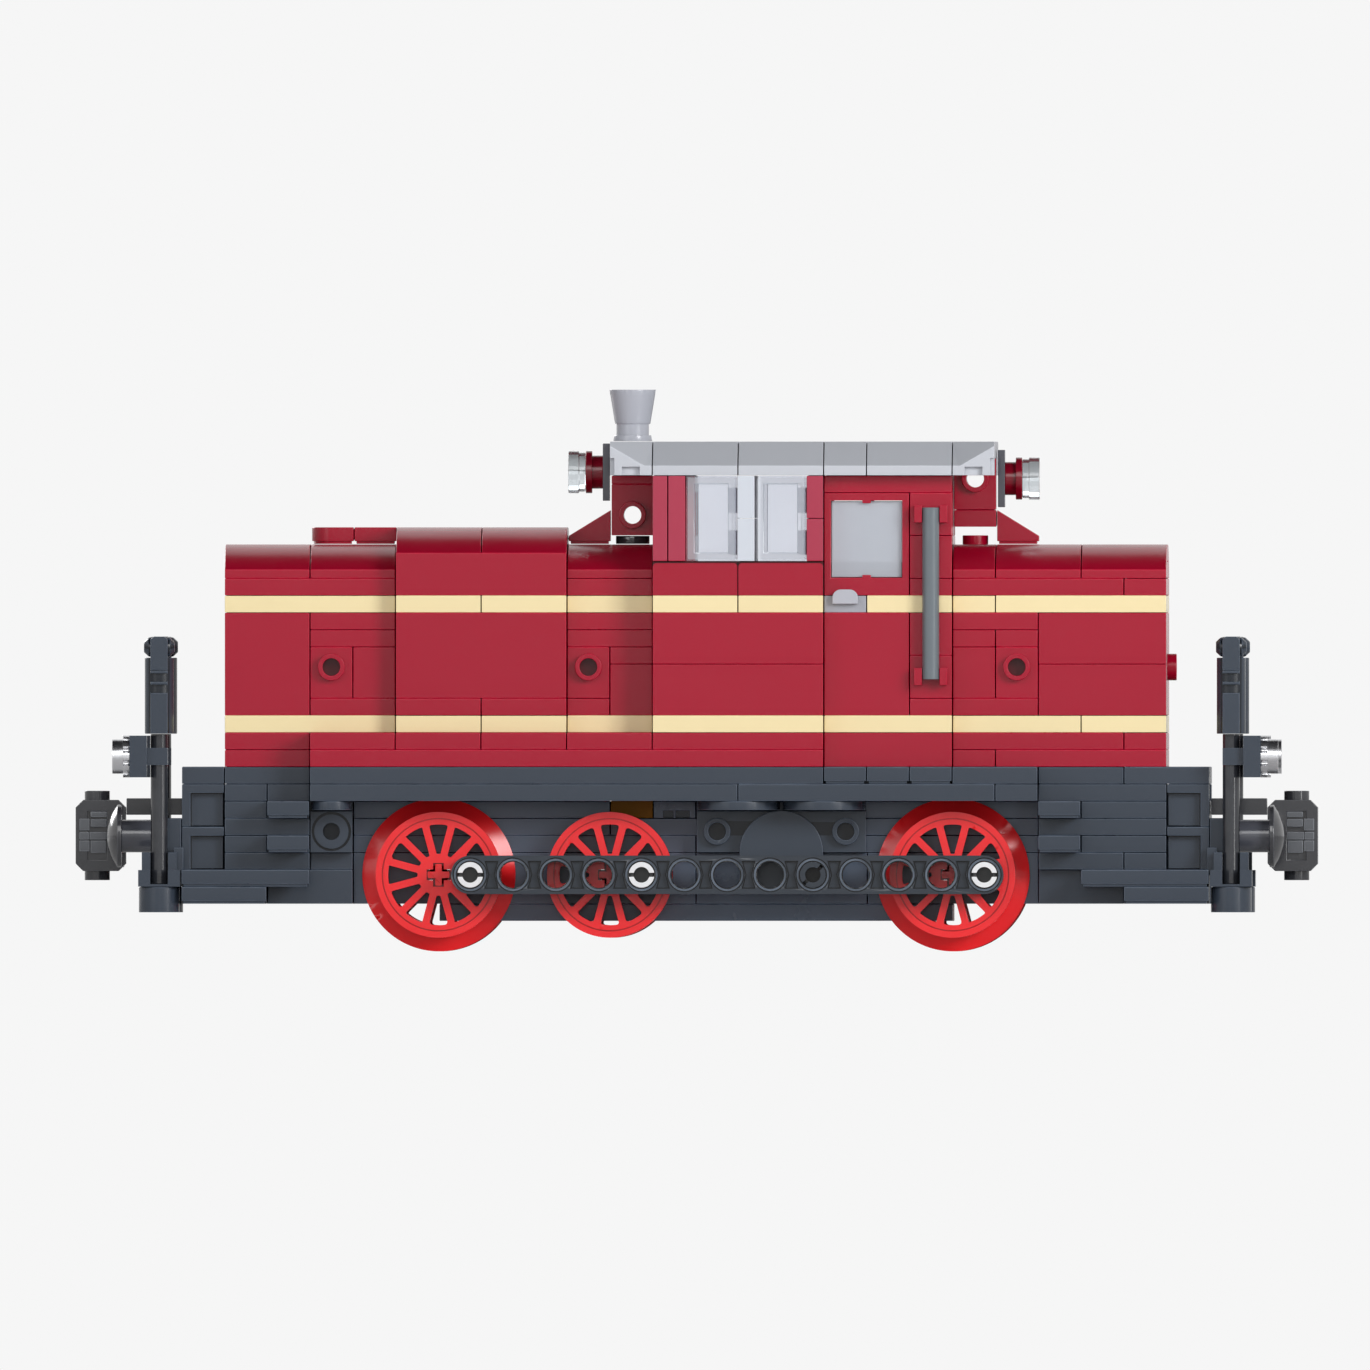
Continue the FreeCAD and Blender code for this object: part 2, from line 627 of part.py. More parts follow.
def coupling_rod():
    """Near coupling rod with a hole at each stud, its first pin at the origin."""
    length = STUD * (AXLE_STUDS[-1] - AXLE_STUDS[0])
    holes = round(length / STUD) + 1
    y0 = -ROD_OUTER
    rod = box(0, length, y0, -ROD_INNER, -ROD_H / 2, ROD_H / 2)
    for x in (0, length):
        rod = rod.fuse(rod_along(ACROSS, ROD_H, Vector(x, y0, 0), ROD_T))
    cuts = [rod_along(ACROSS, ROD_HOLE_D, Vector(STUD * index, y0, 0), ROD_T) for index in range(holes)]
    wide, waist, high = ROD_POCKET_W / 2, ROD_WAIST / 2, ROD_POCKET_H / 2
    outline = ((-wide, -high), (wide, -high), (waist, 0), (wide, high), (-wide, high), (-waist, 0))
    for index in range(holes - 1):
        middle = STUD * (index + 0.5)
        points = [Vector(middle + x, y0, z) for x, z in outline]
        cuts.append(extruded(points, ACROSS * ROD_POCKET_DEPTH))
    return rod.removeSplitter().cut(cuts)


def spare_pin():
    """Dark pin in one of the rod's free holes, with its slot aslant."""
    return slotted_pin(Vector(STUD * SPARE_HOLE, -ROD_OUTER, 0), ROD_T, SPARE_SLOT_ANGLE)


def rods():
    """Coupling rods on both sides, each at its own crank angle."""
    for name, angle in (("near", NEAR_CRANK), ("far", FAR_CRANK)):
        pieces = [coupling_rod(), spare_pin()] if name == "near" else [far_of(coupling_rod), far_of(spare_pin)]
        crank = math.radians(angle)
        place = Vector(STUD * AXLE_STUDS[0] + CRANK_THROW * math.cos(crank), 0,
                       AXLE_Z + CRANK_THROW * math.sin(crank))
        for node, piece in zip(("coupling_rod_", "rod_pin_"), pieces):
            piece.translate(place)
            keep(node + name, [piece])


def lower_body():
    """Red courses above the running board and the lower cream stripe."""
    middle = BASE + 1
    raised = [RAISED_FRONT, RAISED_FRONT + 2, RAISED_REAR]
    keep("body_base_courses", course(BASE, middle, [HOOD_FRONT, BOARD_FRONT], NARROW, 2)
         + course(BASE, middle, [BOARD_FRONT, CAB_REAR], WIDE, 2)
         + course(middle, STRIPE, [HOOD_FRONT, BOARD_FRONT], NARROW, 2)
         + course(middle, STRIPE, [BOARD_FRONT] + raised + [CAB_FRONT, CAB_REAR], WIDE, 2)
         + course(BASE, STRIPE, [CAB_REAR, COLUMN_REAR], MIDDLE, 1.5)
         + course(BASE, middle, [COLUMN_REAR, COLUMN_REAR + 1, REAR_END], NARROW, 2)
         + course(middle, STRIPE, [COLUMN_REAR, REAR_END - 1, REAR_END], NARROW, 2)
         + cross_course(BASE, STRIPE, HOOD_FRONT, HOOD_FRONT + 1, 1)
         + cross_course(BASE, STRIPE, REAR_END - 1, REAR_END, 1))
    keep("lower_stripe", course(STRIPE, WALL, [HOOD_FRONT, RAISED_FRONT], NARROW)
         + course(STRIPE, WALL, raised, MIDDLE, 1.5) + course(STRIPE, WALL, [RAISED_REAR, CAB_FRONT], NARROW)
         + course(STRIPE, WALL, [CAB_FRONT, CAB_REAR], WIDE, 2)
         + course(STRIPE, WALL, [CAB_REAR, COLUMN_REAR], MIDDLE, 1.5)
         + course(STRIPE, WALL, [COLUMN_REAR, COLUMN_REAR + 3, REAR_END], NARROW)
         + cross_course(STRIPE, WALL, HOOD_FRONT, HOOD_FRONT + 1, 2)
         + cross_course(STRIPE, WALL, REAR_END - 1, REAR_END, 2))


def long_hood():
    """Long hood with its raised and wider section."""
    low, stud_row, third, fourth = WALL + 1, RAISED_FRONT - 2, UPPER - 2, UPPER - 1
    front = [stud_row, RAISED_FRONT]
    neck = [RAISED_REAR, CAB_FRONT]
    walls = course(WALL, low, front, NARROW) + course(low, third, [RAISED_FRONT - 1, RAISED_FRONT], NARROW)
    walls += course(third, fourth, front, NARROW) + course(fourth, UPPER, front, NARROW)
    walls += course(WALL, UPPER, [HOOD_FRONT, stud_row], NARROW)
    walls += course(EAVES, COVERS, [HOOD_FRONT, RAISED_FRONT], NARROW)
    walls += cross_course(WALL, UPPER, HOOD_FRONT, HOOD_FRONT + 1, 2)
    walls += cross_course(EAVES, COVERS, HOOD_FRONT, HOOD_FRONT + 1, 2)
    walls += course(WALL, low, [RAISED_REAR, RAISED_REAR + 1], NARROW)
    walls += course(WALL, third - 1, [RAISED_REAR + 1, CAB_FRONT], NARROW)
    walls += course(third - 1, third, [RAISED_REAR + 1, CAB_FRONT], NARROW)
    walls += course(third, fourth, neck, NARROW) + course(fourth, UPPER, neck, NARROW)
    keep("long_hood_walls", walls + course(EAVES, COVERS, neck, NARROW))
    keep("hood_stud_bricks", studded_brick(stud_row, NARROW, low, third)
         + studded_brick(RAISED_REAR, NARROW, low, third))
    raised = [RAISED_FRONT, RAISED_REAR]
    crown = RAISED_TOP - COVER_ROWS
    top = crown + COVER_LIP / PLATE
    keep("raised_hood_backing", course(WALL, low, [RAISED_FRONT, RAISED_FRONT + 2, RAISED_REAR], MIDDLE, 1.5)
         + course(low, UPPER, raised, MIDDLE - FACING) + course(EAVES, crown, raised, MIDDLE - FACING))
    keep("raised_hood_tiles", course(low, UPPER, raised, MIDDLE, FACING) + course(EAVES, top, raised, MIDDLE, FACING))
    keep("long_hood_covers", covers([HOOD_FRONT, HOOD_FRONT + 2, RAISED_FRONT], NARROW, COVERS, HOOD_TOP)
         + covers(neck, NARROW, COVERS, HOOD_TOP)
         + covers([RAISED_FRONT, RAISED_FRONT + 2, RAISED_REAR], MIDDLE - FACING, crown, RAISED_TOP))


def rear_hood():
    """Short hood behind the cab."""
    low, third, fourth = WALL + 1, UPPER - 2, UPPER - 1
    first, second, third_stud = COLUMN_REAR, COLUMN_REAR + 1, COLUMN_REAR + 2
    walls = course(WALL, low, [first, third_stud], NARROW) + course(low, third, [first, second], NARROW)
    walls += course(third, fourth, [first, second, third_stud], NARROW)
    walls += course(fourth, UPPER, [first, third_stud], NARROW)
    walls += course(WALL, UPPER - 3, [third_stud, REAR_END], NARROW)
    walls += course(UPPER - 3, UPPER, [third_stud, REAR_END], NARROW)
    walls += course(EAVES, COVERS, [first, REAR_END - 1, REAR_END], NARROW)
    end_wall = block(REAR_END - 1, REAR_END, -2, 2, WALL, UPPER)
    height = (level(low) + level(third)) / 2 + HOLLOW_STUD_RISE
    end_wall = hollow_stud(end_wall, Vector(STUD * REAR_END - SIDE_PLAY, 0, height), ALONG)
    keep("rear_hood_walls", walls + [end_wall] + cross_course(EAVES, COVERS, REAR_END - 1, REAR_END, 2))
    keep("hood_stud_bricks", studded_brick(second, NARROW, low, third))
    keep("rear_hood_covers", covers([first, second, COLUMN_REAR + 3, REAR_END], NARROW, COVERS, HOOD_TOP))


def upper_stripe():
    """Upper cream stripe around hoods and cab."""
    keep("upper_stripe", course(UPPER, EAVES, [HOOD_FRONT, RAISED_FRONT], NARROW)
         + course(UPPER, EAVES, [RAISED_FRONT, RAISED_FRONT + 2, RAISED_REAR], MIDDLE, 1.5)
         + course(UPPER, EAVES, [RAISED_REAR, CAB_FRONT], NARROW)
         + course(UPPER, EAVES, [CAB_FRONT, CAB_FRONT + 2, CAB_REAR], WIDE)
         + course(UPPER, EAVES, [CAB_REAR + 1, COLUMN_REAR], MIDDLE)
         + course(UPPER, EAVES, [COLUMN_REAR, COLUMN_REAR + 1, REAR_END], NARROW)
         + cross_course(UPPER, EAVES, HOOD_FRONT, HOOD_FRONT + 1, 2)
         + cross_course(UPPER, EAVES, REAR_END - 1, REAR_END, 2))


def roof_slope(x0, x1):
    """Slope along the near edge of the roof."""
    outer, inner = -STUD * WIDE + SIDE_PLAY, -STUD * (WIDE - 1) - SIDE_PLAY
    left = STUD * x0 + SIDE_PLAY
    points = [Vector(left, outer, level(ROOF)), Vector(left, outer, level(ROOF) + ROOF_LIP),
              Vector(left, inner, level(ROOF_TOP) - SEAM), Vector(left, inner, level(ROOF))]
    return extruded(points, Vector(STUD * (x1 - x0) - 2 * SIDE_PLAY, 0, 0))


def roof_corner():
    """Near rear end piece of the roof edge, which rises to its outer end, with notch and slot."""
    x0, x1 = ROOF_REAR - 1, ROOF_REAR
    left, right = STUD * x0 + SIDE_PLAY, STUD * x1 - SIDE_PLAY
    outer, inner = -STUD * WIDE + SIDE_PLAY, -STUD * (WIDE - 1) - SIDE_PLAY
    bottom, top = level(ROOF), level(ROOF_TOP) - SEAM
    rising = below_plane(block(x0, x1, -WIDE, -WIDE + 1, ROOF, ROOF_TOP),
                         Vector(left + CORNER_START, outer, bottom + ROOF_LIP),
                         Vector(right, outer, top - CORNER_END_DROP), Vector(left, inner, top))
    corner = rising.fuse(roof_slope(x0, x1))
    middle = STUD * (x0 + x1) / 2
    depth = outer + ROOF_NOTCH_DEPTH
    notch = box(middle - ROOF_NOTCH_W / 2, middle + ROOF_NOTCH_W / 2, outer - 1, depth,
                bottom - 1, bottom + ROOF_NOTCH_H)
    slot = box(right - ROOF_END_SLOT, right + 1, outer - 1, depth, bottom - 1, level(ROOF + 1))
    return corner.cut([notch, slot])


def roof():
    """Light grey cab roof with its chimney."""
    slopes = []
    seams = (CAB_FRONT, CAB_FRONT + 2, CAB_REAR, CAB_REAR + 1, COLUMN_REAR)
    for x0, x1 in zip(seams, seams[1:]):
        slopes += both_sides(roof_slope(x0, x1))
    rear_corner = roof_corner()
    front_corner = rear_corner.mirror(Vector(STUD * (ROOF_FRONT + ROOF_REAR) / 2, 0, 0), ALONG)
    keep("roof_edges", slopes + both_sides(rear_corner) + both_sides(front_corner))
    inner = NARROW
    keep("roof_slabs", cross_course(ROOF, ROOF + 1, CAB_FRONT, CAB_REAR, inner)
         + cross_course(ROOF, ROOF + 1, CAB_REAR, COLUMN_REAR, inner)
         + cross_course(ROOF + 1, ROOF_TOP, ROOF_FRONT, CAB_REAR, inner)
         + cross_course(ROOF + 1, ROOF_TOP, CAB_REAR, ROOF_REAR, inner))
    ring, neck, bell = CHIMNEY_RING_D / 2, CHIMNEY_NECK_D / 2, CHIMNEY_TOP_D / 2
    profile = ((0, 0), (0, ring), (CHIMNEY_RING_H, ring), (CHIMNEY_RING_H, neck), (PLATE, neck),
               (PLATE, neck + SIDE_PLAY), (3 * PLATE, bell), (3 * PLATE, bell - CHIMNEY_WALL), (PLATE, neck - CHIMNEY_WALL), (PLATE, 0))
    keep("chimney", [turned(profile, Vector(STUD * (ROOF_FRONT + 0.5), 0, level(ROOF_TOP)), UP)])


def window_tray(x0, x1):
    """Clear box panel of a side window, open towards the cab."""
    face, low, high = -STUD * WIDE + SIDE_PLAY, level(SILL), level(ROOF) - SEAM
    tray = box(x0, x1, face, face + WINDOW_DEPTH, low, high)
    return tray.cut(box(x0 + WINDOW_RIM, x1 - WINDOW_RIM, face + PANE_T, face + WINDOW_DEPTH,
                        low + WINDOW_RIM, high - WINDOW_RIM))


def split_post(x0, x1):
    """Upright of the cab side in two pieces, one above the other."""
    outer, inner = -STUD * WIDE + SIDE_PLAY, -STUD * (WIDE - 1)
    low, high = level(SILL), level(ROOF) - SEAM
    middle = (low + high) / 2
    return [box(x0, x1, outer, inner, low, middle - SEAM / 2), box(x0, x1, outer, inner, middle + SEAM / 2, high)]


def window_catches(x0, x1):
    """Two small blocks behind the rear rim of a window."""
    back = -STUD * WIDE + SIDE_PLAY + WINDOW_DEPTH + SEAM
    low = level(SILL)
    return [box(x0, x1, back, back + CATCH_T, low + bottom, low + top) for bottom, top in CATCH_ROWS]


def cab_windows():
    """Uprights and clear windows along each side of the cab."""
    left, right = STUD * CAB_FRONT + SIDE_PLAY, STUD * CAB_REAR - SIDE_PLAY
    solid = FRONT_BAR_W + INNER_BAR_W + PILLAR_W + REAR_BAR_W + 5 * BAR_GAP
    width = (right - left - solid) / 2
    outer, inner = -STUD * WIDE + SIDE_PLAY, -STUD * (WIDE - 1)
    low, high = level(SILL), level(ROOF) - SEAM
    second = left + FRONT_BAR_W + BAR_GAP
    first_window = second + INNER_BAR_W + BAR_GAP
    pillar = first_window + width + BAR_GAP
    second_window = pillar + PILLAR_W + BAR_GAP
    bars = [box(left, left + FRONT_BAR_W, outer, inner, low, high),
            box(second, second + INNER_BAR_W, outer, inner, low, high)] + split_post(right - REAR_BAR_W, right)
    pillars = split_post(pillar, pillar + PILLAR_W)
    for start in (first_window, second_window):
        pillars += window_catches(start + width - WINDOW_RIM, start + width)
        keep("cab_panes", both_sides(window_tray(start, start + width)))
    for node, shapes in (("cab_side_walls", bars), ("cab_window_frames", pillars)):
        for shape in shapes:
            keep(node, both_sides(shape))


def sill(x0, x1):
    """Thin panel under the windows with two rounded top corners and a ledge behind them."""
    face = -STUD * WIDE + SIDE_PLAY
    left, right = STUD * x0 + SIDE_PLAY, STUD * x1 - SIDE_PLAY
    top = level(SILL) - SILL_GAP
    panel = box(left, right, face, face + SILL_T, level(EAVES), top)
    corners = [edge for edge in panel.Edges if edge.BoundBox.ZMin > top - SEAM and edge.BoundBox.XLength < SEAM]
    ledge = box(left, right, face + SILL_T - SILL_LEDGE, face + SILL_T, level(EAVES), level(SILL) - SEAM)
    return panel.makeFillet(SILL_ROUND, corners).fuse(ledge)


def door_window():
    """Frame of the door's window with a small tab at the middle of its top and bottom."""
    x0, x1 = STUD * CAB_REAR + SIDE_PLAY, STUD * DOOR_REAR - SIDE_PLAY
    face, back = -STUD * MIDDLE + SIDE_PLAY, -STUD * (MIDDLE - 1)
    low, high = level(EAVES), level(ROOF - 1) - SEAM
    left, right = x0 + DOOR_SIDE_RIM, x1 - DOOR_SIDE_RIM
    bottom, top = low + DOOR_BOTTOM_RIM, high - DOOR_TOP_RIM
    frame = box(x0, x1, face, back, low, high).cut(box(left, right, face - 1, back + 1, bottom, top))
    pane = box(left + SEAM, right - SEAM, face + PANE_T, face + 2 * PANE_T, bottom + SEAM, top - SEAM)
    centre, (width, height) = (x0 + x1) / 2, DOOR_TAB
    for z in (bottom, top - height):
        frame = frame.fuse(box(centre - width / 2, centre + width / 2, face, face + PANE_T - SEAM, z, z + height))
    return frame, pane


def door_handle():
    """Grey brick in the stripe whose rounded tab laps over the door."""
    brick = block(CAB_REAR, CAB_REAR + 1, -MIDDLE, -MIDDLE + 1, UPPER, EAVES)
    centre, (width, height) = STUD * (CAB_REAR + 0.5), HANDLE_TAB
    face = -STUD * MIDDLE + SIDE_PLAY
    bottom = level(UPPER) + HANDLE_TAB_RISE
    tab = box(centre - width / 2, centre + width / 2, face - HANDLE_TAB_T, face, bottom, bottom + height)
    corners = [edge for edge in tab.Edges
               if edge.BoundBox.ZMin > bottom + height - SEAM and edge.BoundBox.XLength < SEAM]
    return brick.fuse(tab.makeFillet(HANDLE_ROUND, corners))


def cab():
    """Hollow cab with its side windows, doors and end walls."""
    split = (WALL + UPPER) / 2
    keep("cab_side_walls", course(WALL, split, [CAB_FRONT, CAB_REAR], WIDE)
         + course(split, UPPER, [CAB_FRONT, CAB_REAR], WIDE)
         + both_sides(sill(CAB_FRONT, CAB_FRONT + 2)) + both_sides(sill(CAB_FRONT + 2, CAB_REAR)))
    cab_windows()
    frame, pane = door_window()
    keep("cab_panes", both_sides(pane))
    keep("door_panels", both_sides(frame) + course(WALL, UPPER, [CAB_REAR, DOOR_REAR], MIDDLE)
         + course(ROOF - 1, ROOF, [CAB_REAR, COLUMN_REAR], MIDDLE))
    keep("door_handles", both_sides(door_handle()))
    for x0, half_width in ((CAB_FRONT, NARROW), (DOOR_REAR, MIDDLE - 1)):
        wall = block(x0, x0 + 1, -half_width, half_width, WALL, ROOF)
        for side in (-1, 1):
            centre = side * END_WINDOW_Y
            wall = wall.cut(box(STUD * x0, STUD * (x0 + 1), centre - END_WINDOW_W / 2, centre + END_WINDOW_W / 2,
                                level(SILL + 1.5), level(ROOF - 1)))
        keep("cab_end_walls", [wall])


def clip_tile(low, high, grip):
    """Tile of the handrail column with two prongs that hold the bar."""
    centre, face = STUD * (DOOR_REAR + 0.5), -STUD * MIDDLE + SIDE_PLAY
    clip = block(DOOR_REAR, COLUMN_REAR, -MIDDLE, -MIDDLE + 1, low, high)
    for side in (-1, 1):
        inner = centre + side * (BAR_D / 2 + BAR_FIT)
        outer = centre + side * (BAR_D / 2 + CLIP_W)
        clip = clip.fuse(box(min(inner, outer), max(inner, outer), face - BAR_OUT - BAR_D / 4, face + SIDE_PLAY,
                             level(grip) - PLATE / 2, level(grip) + PLATE / 2))
    return clip


def handrails():
    """Column of tiles behind the door with its upright handrail."""
    seams = [DOOR_REAR, COLUMN_REAR]
    low, high = WALL + CLIP_ROWS, ROOF - 1 - CLIP_ROWS
    column = course(WALL, WALL + 1, seams, MIDDLE) + course(low + 1, UPPER, seams, MIDDLE)
    column += course(EAVES, COVERS, seams, MIDDLE) + course(COVERS, high, seams, MIDDLE)
    lower_grip, upper_grip = WALL + 1 + CLIP_ROWS / 2, high + CLIP_ROWS / 2
    column += both_sides(clip_tile(WALL + 1, low + 1, lower_grip)) + both_sides(clip_tile(high, ROOF - 1, upper_grip))
    keep("handrail_column", column)
    bottom, top = level(lower_grip) - RAIL_BELOW, level(upper_grip) + RAIL_ABOVE
    start = Vector(STUD * (DOOR_REAR + 0.5), -STUD * MIDDLE + SIDE_PLAY - BAR_OUT, bottom)
    keep("handrail_bars", both_sides(rod_along(UP, BAR_D, start, top - bottom)))


def pierced_column(x0, low, high, height):
    """Brick under the roof with hollow studs on both faces that show daylight."""
    brick = block(x0, x0 + 1, -0.5, 0.5, low, high)
    centre = Vector(STUD * (x0 + 0.5), 0, height)
    reach = STUD / 2 - SIDE_PLAY + STUD_H
    brick = brick.fuse(rod_along(ACROSS, HOLLOW_STUD_D, centre - ACROSS * reach, 2 * reach))
    return brick.cut(rod_along(ACROSS, HOLLOW_STUD_BORE, centre - ACROSS * STUD, 2 * STUD))


def top_lamp(side, inner, height):
    """Lamp on its upright bracket: bracket, red body and clear lens."""
    out = ALONG * side
    near, far = inner + side * BRACKET_GAP, inner + side * (BRACKET_GAP + BRACKET_T)
    leg = box(min(near, far), max(near, far), -STUD / 2, STUD / 2, height - BRACKET_H / 2, height + BRACKET_H / 2)
    body, ring = TOP_LAMP_D / 2, TOP_RING_D / 2
    start = Vector(far, 0, height)
    lamp = turned(((0, 0), (0, body), (TOP_LAMP_L, body), (TOP_LAMP_L, ring), (TOP_LAMP_L + TOP_RING_T, ring),
                   (TOP_LAMP_L + TOP_RING_T, 0)), start, out)
    front = start + out * (TOP_LAMP_L + TOP_RING_T + BAR_FIT)
    lens = turned(((0, 0), (0, ring - LENS_GROOVE), (TOP_RING_T, ring - LENS_GROOVE), (TOP_RING_T, ring),
                   (TOP_LENS_T, ring), (TOP_LENS_T, 0)), front, out)
    return leg, lamp, lens


def top_lamps():
    """Lamps on stub columns under the roof's overhangs."""
    front, rear = ROOF_FRONT, ROOF_REAR - 1
    drop = (level(ROOF - 3.5) + level(ROOF - 0.5)) / 2 - HOLLOW_STUD_RISE
    rise = (level(ROOF - 2) + level(ROOF + 1)) / 2 + HOLLOW_STUD_RISE
    keep("lamp_columns", [pierced_column(front, ROOF - 3.5, ROOF - 0.5, drop),
                          block(front, front + 1, -0.5, 0.5, ROOF - 0.5, ROOF),
                          pierced_column(rear, ROOF - 2, ROOF + 1, rise),
                          block(rear, rear + 1, -0.5, 0.5, ROOF - 3, ROOF - 2)])
    keep("lamp_column_feet", [rod_along(UP, COLUMN_FOOT_D, Vector(STUD * (front + 0.5), 0, level(HOOD_TOP)),
                                        level(ROOF - 3.5) - level(HOOD_TOP) - SEAM)])
    arm = block(front, front + 1, -0.5, 0.5, ROOF, ROOF + 1)
    arm = arm.fuse(box(STUD * front - BRACKET_GAP - BRACKET_T, STUD * front + 1, -STUD / 2 + SIDE_PLAY,
                       STUD / 2 - SIDE_PLAY, level(ROOF), level(ROOF + 1) - SEAM))
    for side, inner, height, extra in ((-1, STUD * front, level(ROOF) + FRONT_LAMP_RISE, [arm]),
                                       (1, STUD * (rear + 1), rise, [])):
        leg, lamp, lens = top_lamp(side, inner, height)
        keep("top_lamp_brackets", [leg.fuse(extra)] if extra else [leg])
        keep("top_lamp_bodies", [lamp])
        keep("top_lamp_lenses", [lens])


def top_wedge(front, rear):
    """Small wedge on the hood top that rises from its front to its rear stud line."""
    side = 1 if rear > front else -1
    near, far = STUD * front + side * SIDE_PLAY, STUD * rear - side * SIDE_PLAY
    y0, width = -STUD / 2 + SIDE_PLAY, STUD - 2 * SIDE_PLAY
    z0, z1 = level(HOOD_TOP) + BASE_GROOVE, level(HOOD_TOP + 2) - SEAM
    lip = level(HOOD_TOP) + WEDGE_LIP
    points = [Vector(near, y0, z0), Vector(near, y0, lip), Vector(far, y0, z1), Vector(far, y0, z0)]
    foot = box(min(near, far) + BASE_INSET, max(near, far) - BASE_INSET, y0 + BASE_INSET,
               y0 + width - BASE_INSET, level(HOOD_TOP), z0)
    return extruded(points, ACROSS * width).fuse(foot)


def round_end_tile(x0, half, low, high):
    """Tile with its groove around the base, whose front end is half round."""
    centre = Vector(STUD * (x0 + 0.5), 0, low)
    raised = centre + UP * BASE_GROOVE
    inset = half - BASE_INSET
    upper = box(centre.x, centre.x + half, -half, half, raised.z, high)
    foot = box(centre.x, centre.x + inset, -inset, inset, low, raised.z)
    return upper.fuse([foot, rod_along(UP, 2 * half, raised, high - raised.z),
                       rod_along(UP, 2 * inset, centre, BASE_GROOVE)]).removeSplitter()


def hood_top_details():
    """Small tiles, wedges and a stud on the hood tops."""
    half = STUD / 2 - SIDE_PLAY
    low, high = level(HOOD_TOP), level(HOOD_TOP + 1) - SEAM
    square = tile(STUD * (BOARD_FRONT + 1) + SIDE_PLAY, STUD * (BOARD_FRONT + 2) - SIDE_PLAY, -half, half, low, high)
    tiles = [round_end_tile(BOARD_FRONT, half, low, high), square]
    stud_at = Vector(STUD * (ROOF_REAR - 0.5), 0, level(HOOD_TOP) - SEAM)
    keep("hood_top_pieces", tiles + [rod_along(UP, STUD_D, stud_at, STUD_H)])
    keep("hood_top_pieces", [top_wedge(RAISED_REAR, RAISED_REAR + 1), top_wedge(ROOF_REAR + 1, ROOF_REAR)])


def buffer_dish(start):
    """Buffer head with a domed face, turned about its shank's axis towards -X."""
    rim = DISH_D / 2
    rise = DISH_T - DISH_EDGE
    radius = (rim * rim + rise * rise) / (2 * rise)
    half = math.asin(rim / radius) / 2
    crest = start - ALONG * DISH_T
    middle = crest + ALONG * (radius * (1 - math.cos(half))) + ACROSS * (radius * math.sin(half))
    edge, back = start - ALONG * DISH_EDGE + ACROSS * rim, start + ACROSS * rim
    edges = [Part.Arc(crest, middle, edge).toShape(), Part.makeLine(edge, back),
             Part.makeLine(back, start), Part.makeLine(start, crest)]
    return Part.Face(Part.Wire(edges)).revolve(start, ALONG, 360)


def coupler_head(end):
    """Coupler block with studs at top and bottom and a recess in each side."""
    bottom = level(BEAM_ROWS) - COUPLER_DROP
    x0 = end - COUPLER_OUT
    head = box(x0, x0 + COUPLER_LENGTH, -STUD / 2, STUD / 2, bottom, bottom + COUPLER_H)
    head = head.makeChamfer(COUPLER_CHAMFER, [edge for edge in head.Edges if edge.BoundBox.YLength > STUD / 2])
    pole_x = x0 + STUD / 2
    middle = bottom + COUPLER_H / 2
    for side in (-1, 1):
        outer = side * STUD / 2
        floor = outer - side * COUPLER_POCKET_DEPTH
        pocket = box(pole_x - COUPLER_POCKET_W / 2, pole_x + COUPLER_POCKET_W / 2, min(outer, floor),
                     max(outer, floor), middle - COUPLER_POCKET_H / 2, middle + COUPLER_POCKET_H / 2)
        for z in (middle - COUPLER_POCKET_H / 4, middle + COUPLER_POCKET_H / 4):
            pocket = pocket.cut(box(pole_x - THIN_WALL / 2, pole_x + THIN_WALL / 2, min(outer, floor),
                                    max(outer, floor), z - THIN_WALL / 2, z + THIN_WALL / 2))
        head = head.cut(pocket)
    return head.fuse(rod_along(UP, COUPLER_POLE_D, Vector(pole_x, 0, bottom - STUD_H), COUPLER_H + 2 * STUD_H))


def buffers_and_couplers():
    """End beams, buffers and couplers at the left end, mirrored to the right."""
    end = -STUD * BOARD_END
    beam = box(end - BEAM_T, end - SIDE_PLAY / 2, -STUD * NARROW, STUD * NARROW, level(BEAM_ROWS),
               level(FRAME_TOP - 1) - SEAM)
    keep("frame_end_courses", both_ends([beam]))
    for side in (-1, 1):
        start = Vector(end - BEAM_T, side * BUFFER_STUD * STUD, level(BEAM_ROWS) + BUFFER_RISE)
        length = BUFFER_OUT - DISH_T - BEAM_T
        keep("buffer_shanks", both_ends([rod_along(ALONG * -1, SHANK_D, start, length)]))
        keep("buffer_dishes", both_ends([buffer_dish(start - ALONG * length)]))
    low = level(FRAME_TOP - 1) + DRAWBAR_RISE
    drawbar = box(end - COUPLER_OUT + COUPLER_LENGTH + SIDE_PLAY, end - SIDE_PLAY / 2, -STUD / 2, STUD / 2,
                  low, low + PLATE - SEAM)
    keep("couplers", both_ends([coupler_head(end), drawbar]))


def post_top(x, y):
    """Round top piece of a post with the flat plate and ribs on its front."""
    bottom = level(1) + POST_START + POST_L + POST_FIT
    radius, half = POST_TOP_W / 2, POST_NECK_W / 2
    piece = rod_along(UP, POST_TOP_W, Vector(x, y, bottom), POST_TOP_H)
    front, back = y - radius - POST_PLATE_T, y - radius / 2
    plates = [box(x - half, x + half, front, back, bottom, bottom + POST_PLATE_H)]
    for rib in range(POST_RIBS):
        low = bottom + POST_PLATE_H + POST_SLOT_H + rib * (POST_SLOT_H + POST_RIB_H)
        plates.append(box(x - half, x + half, front, back, low, low + POST_RIB_H))
    return piece.fuse(plates)


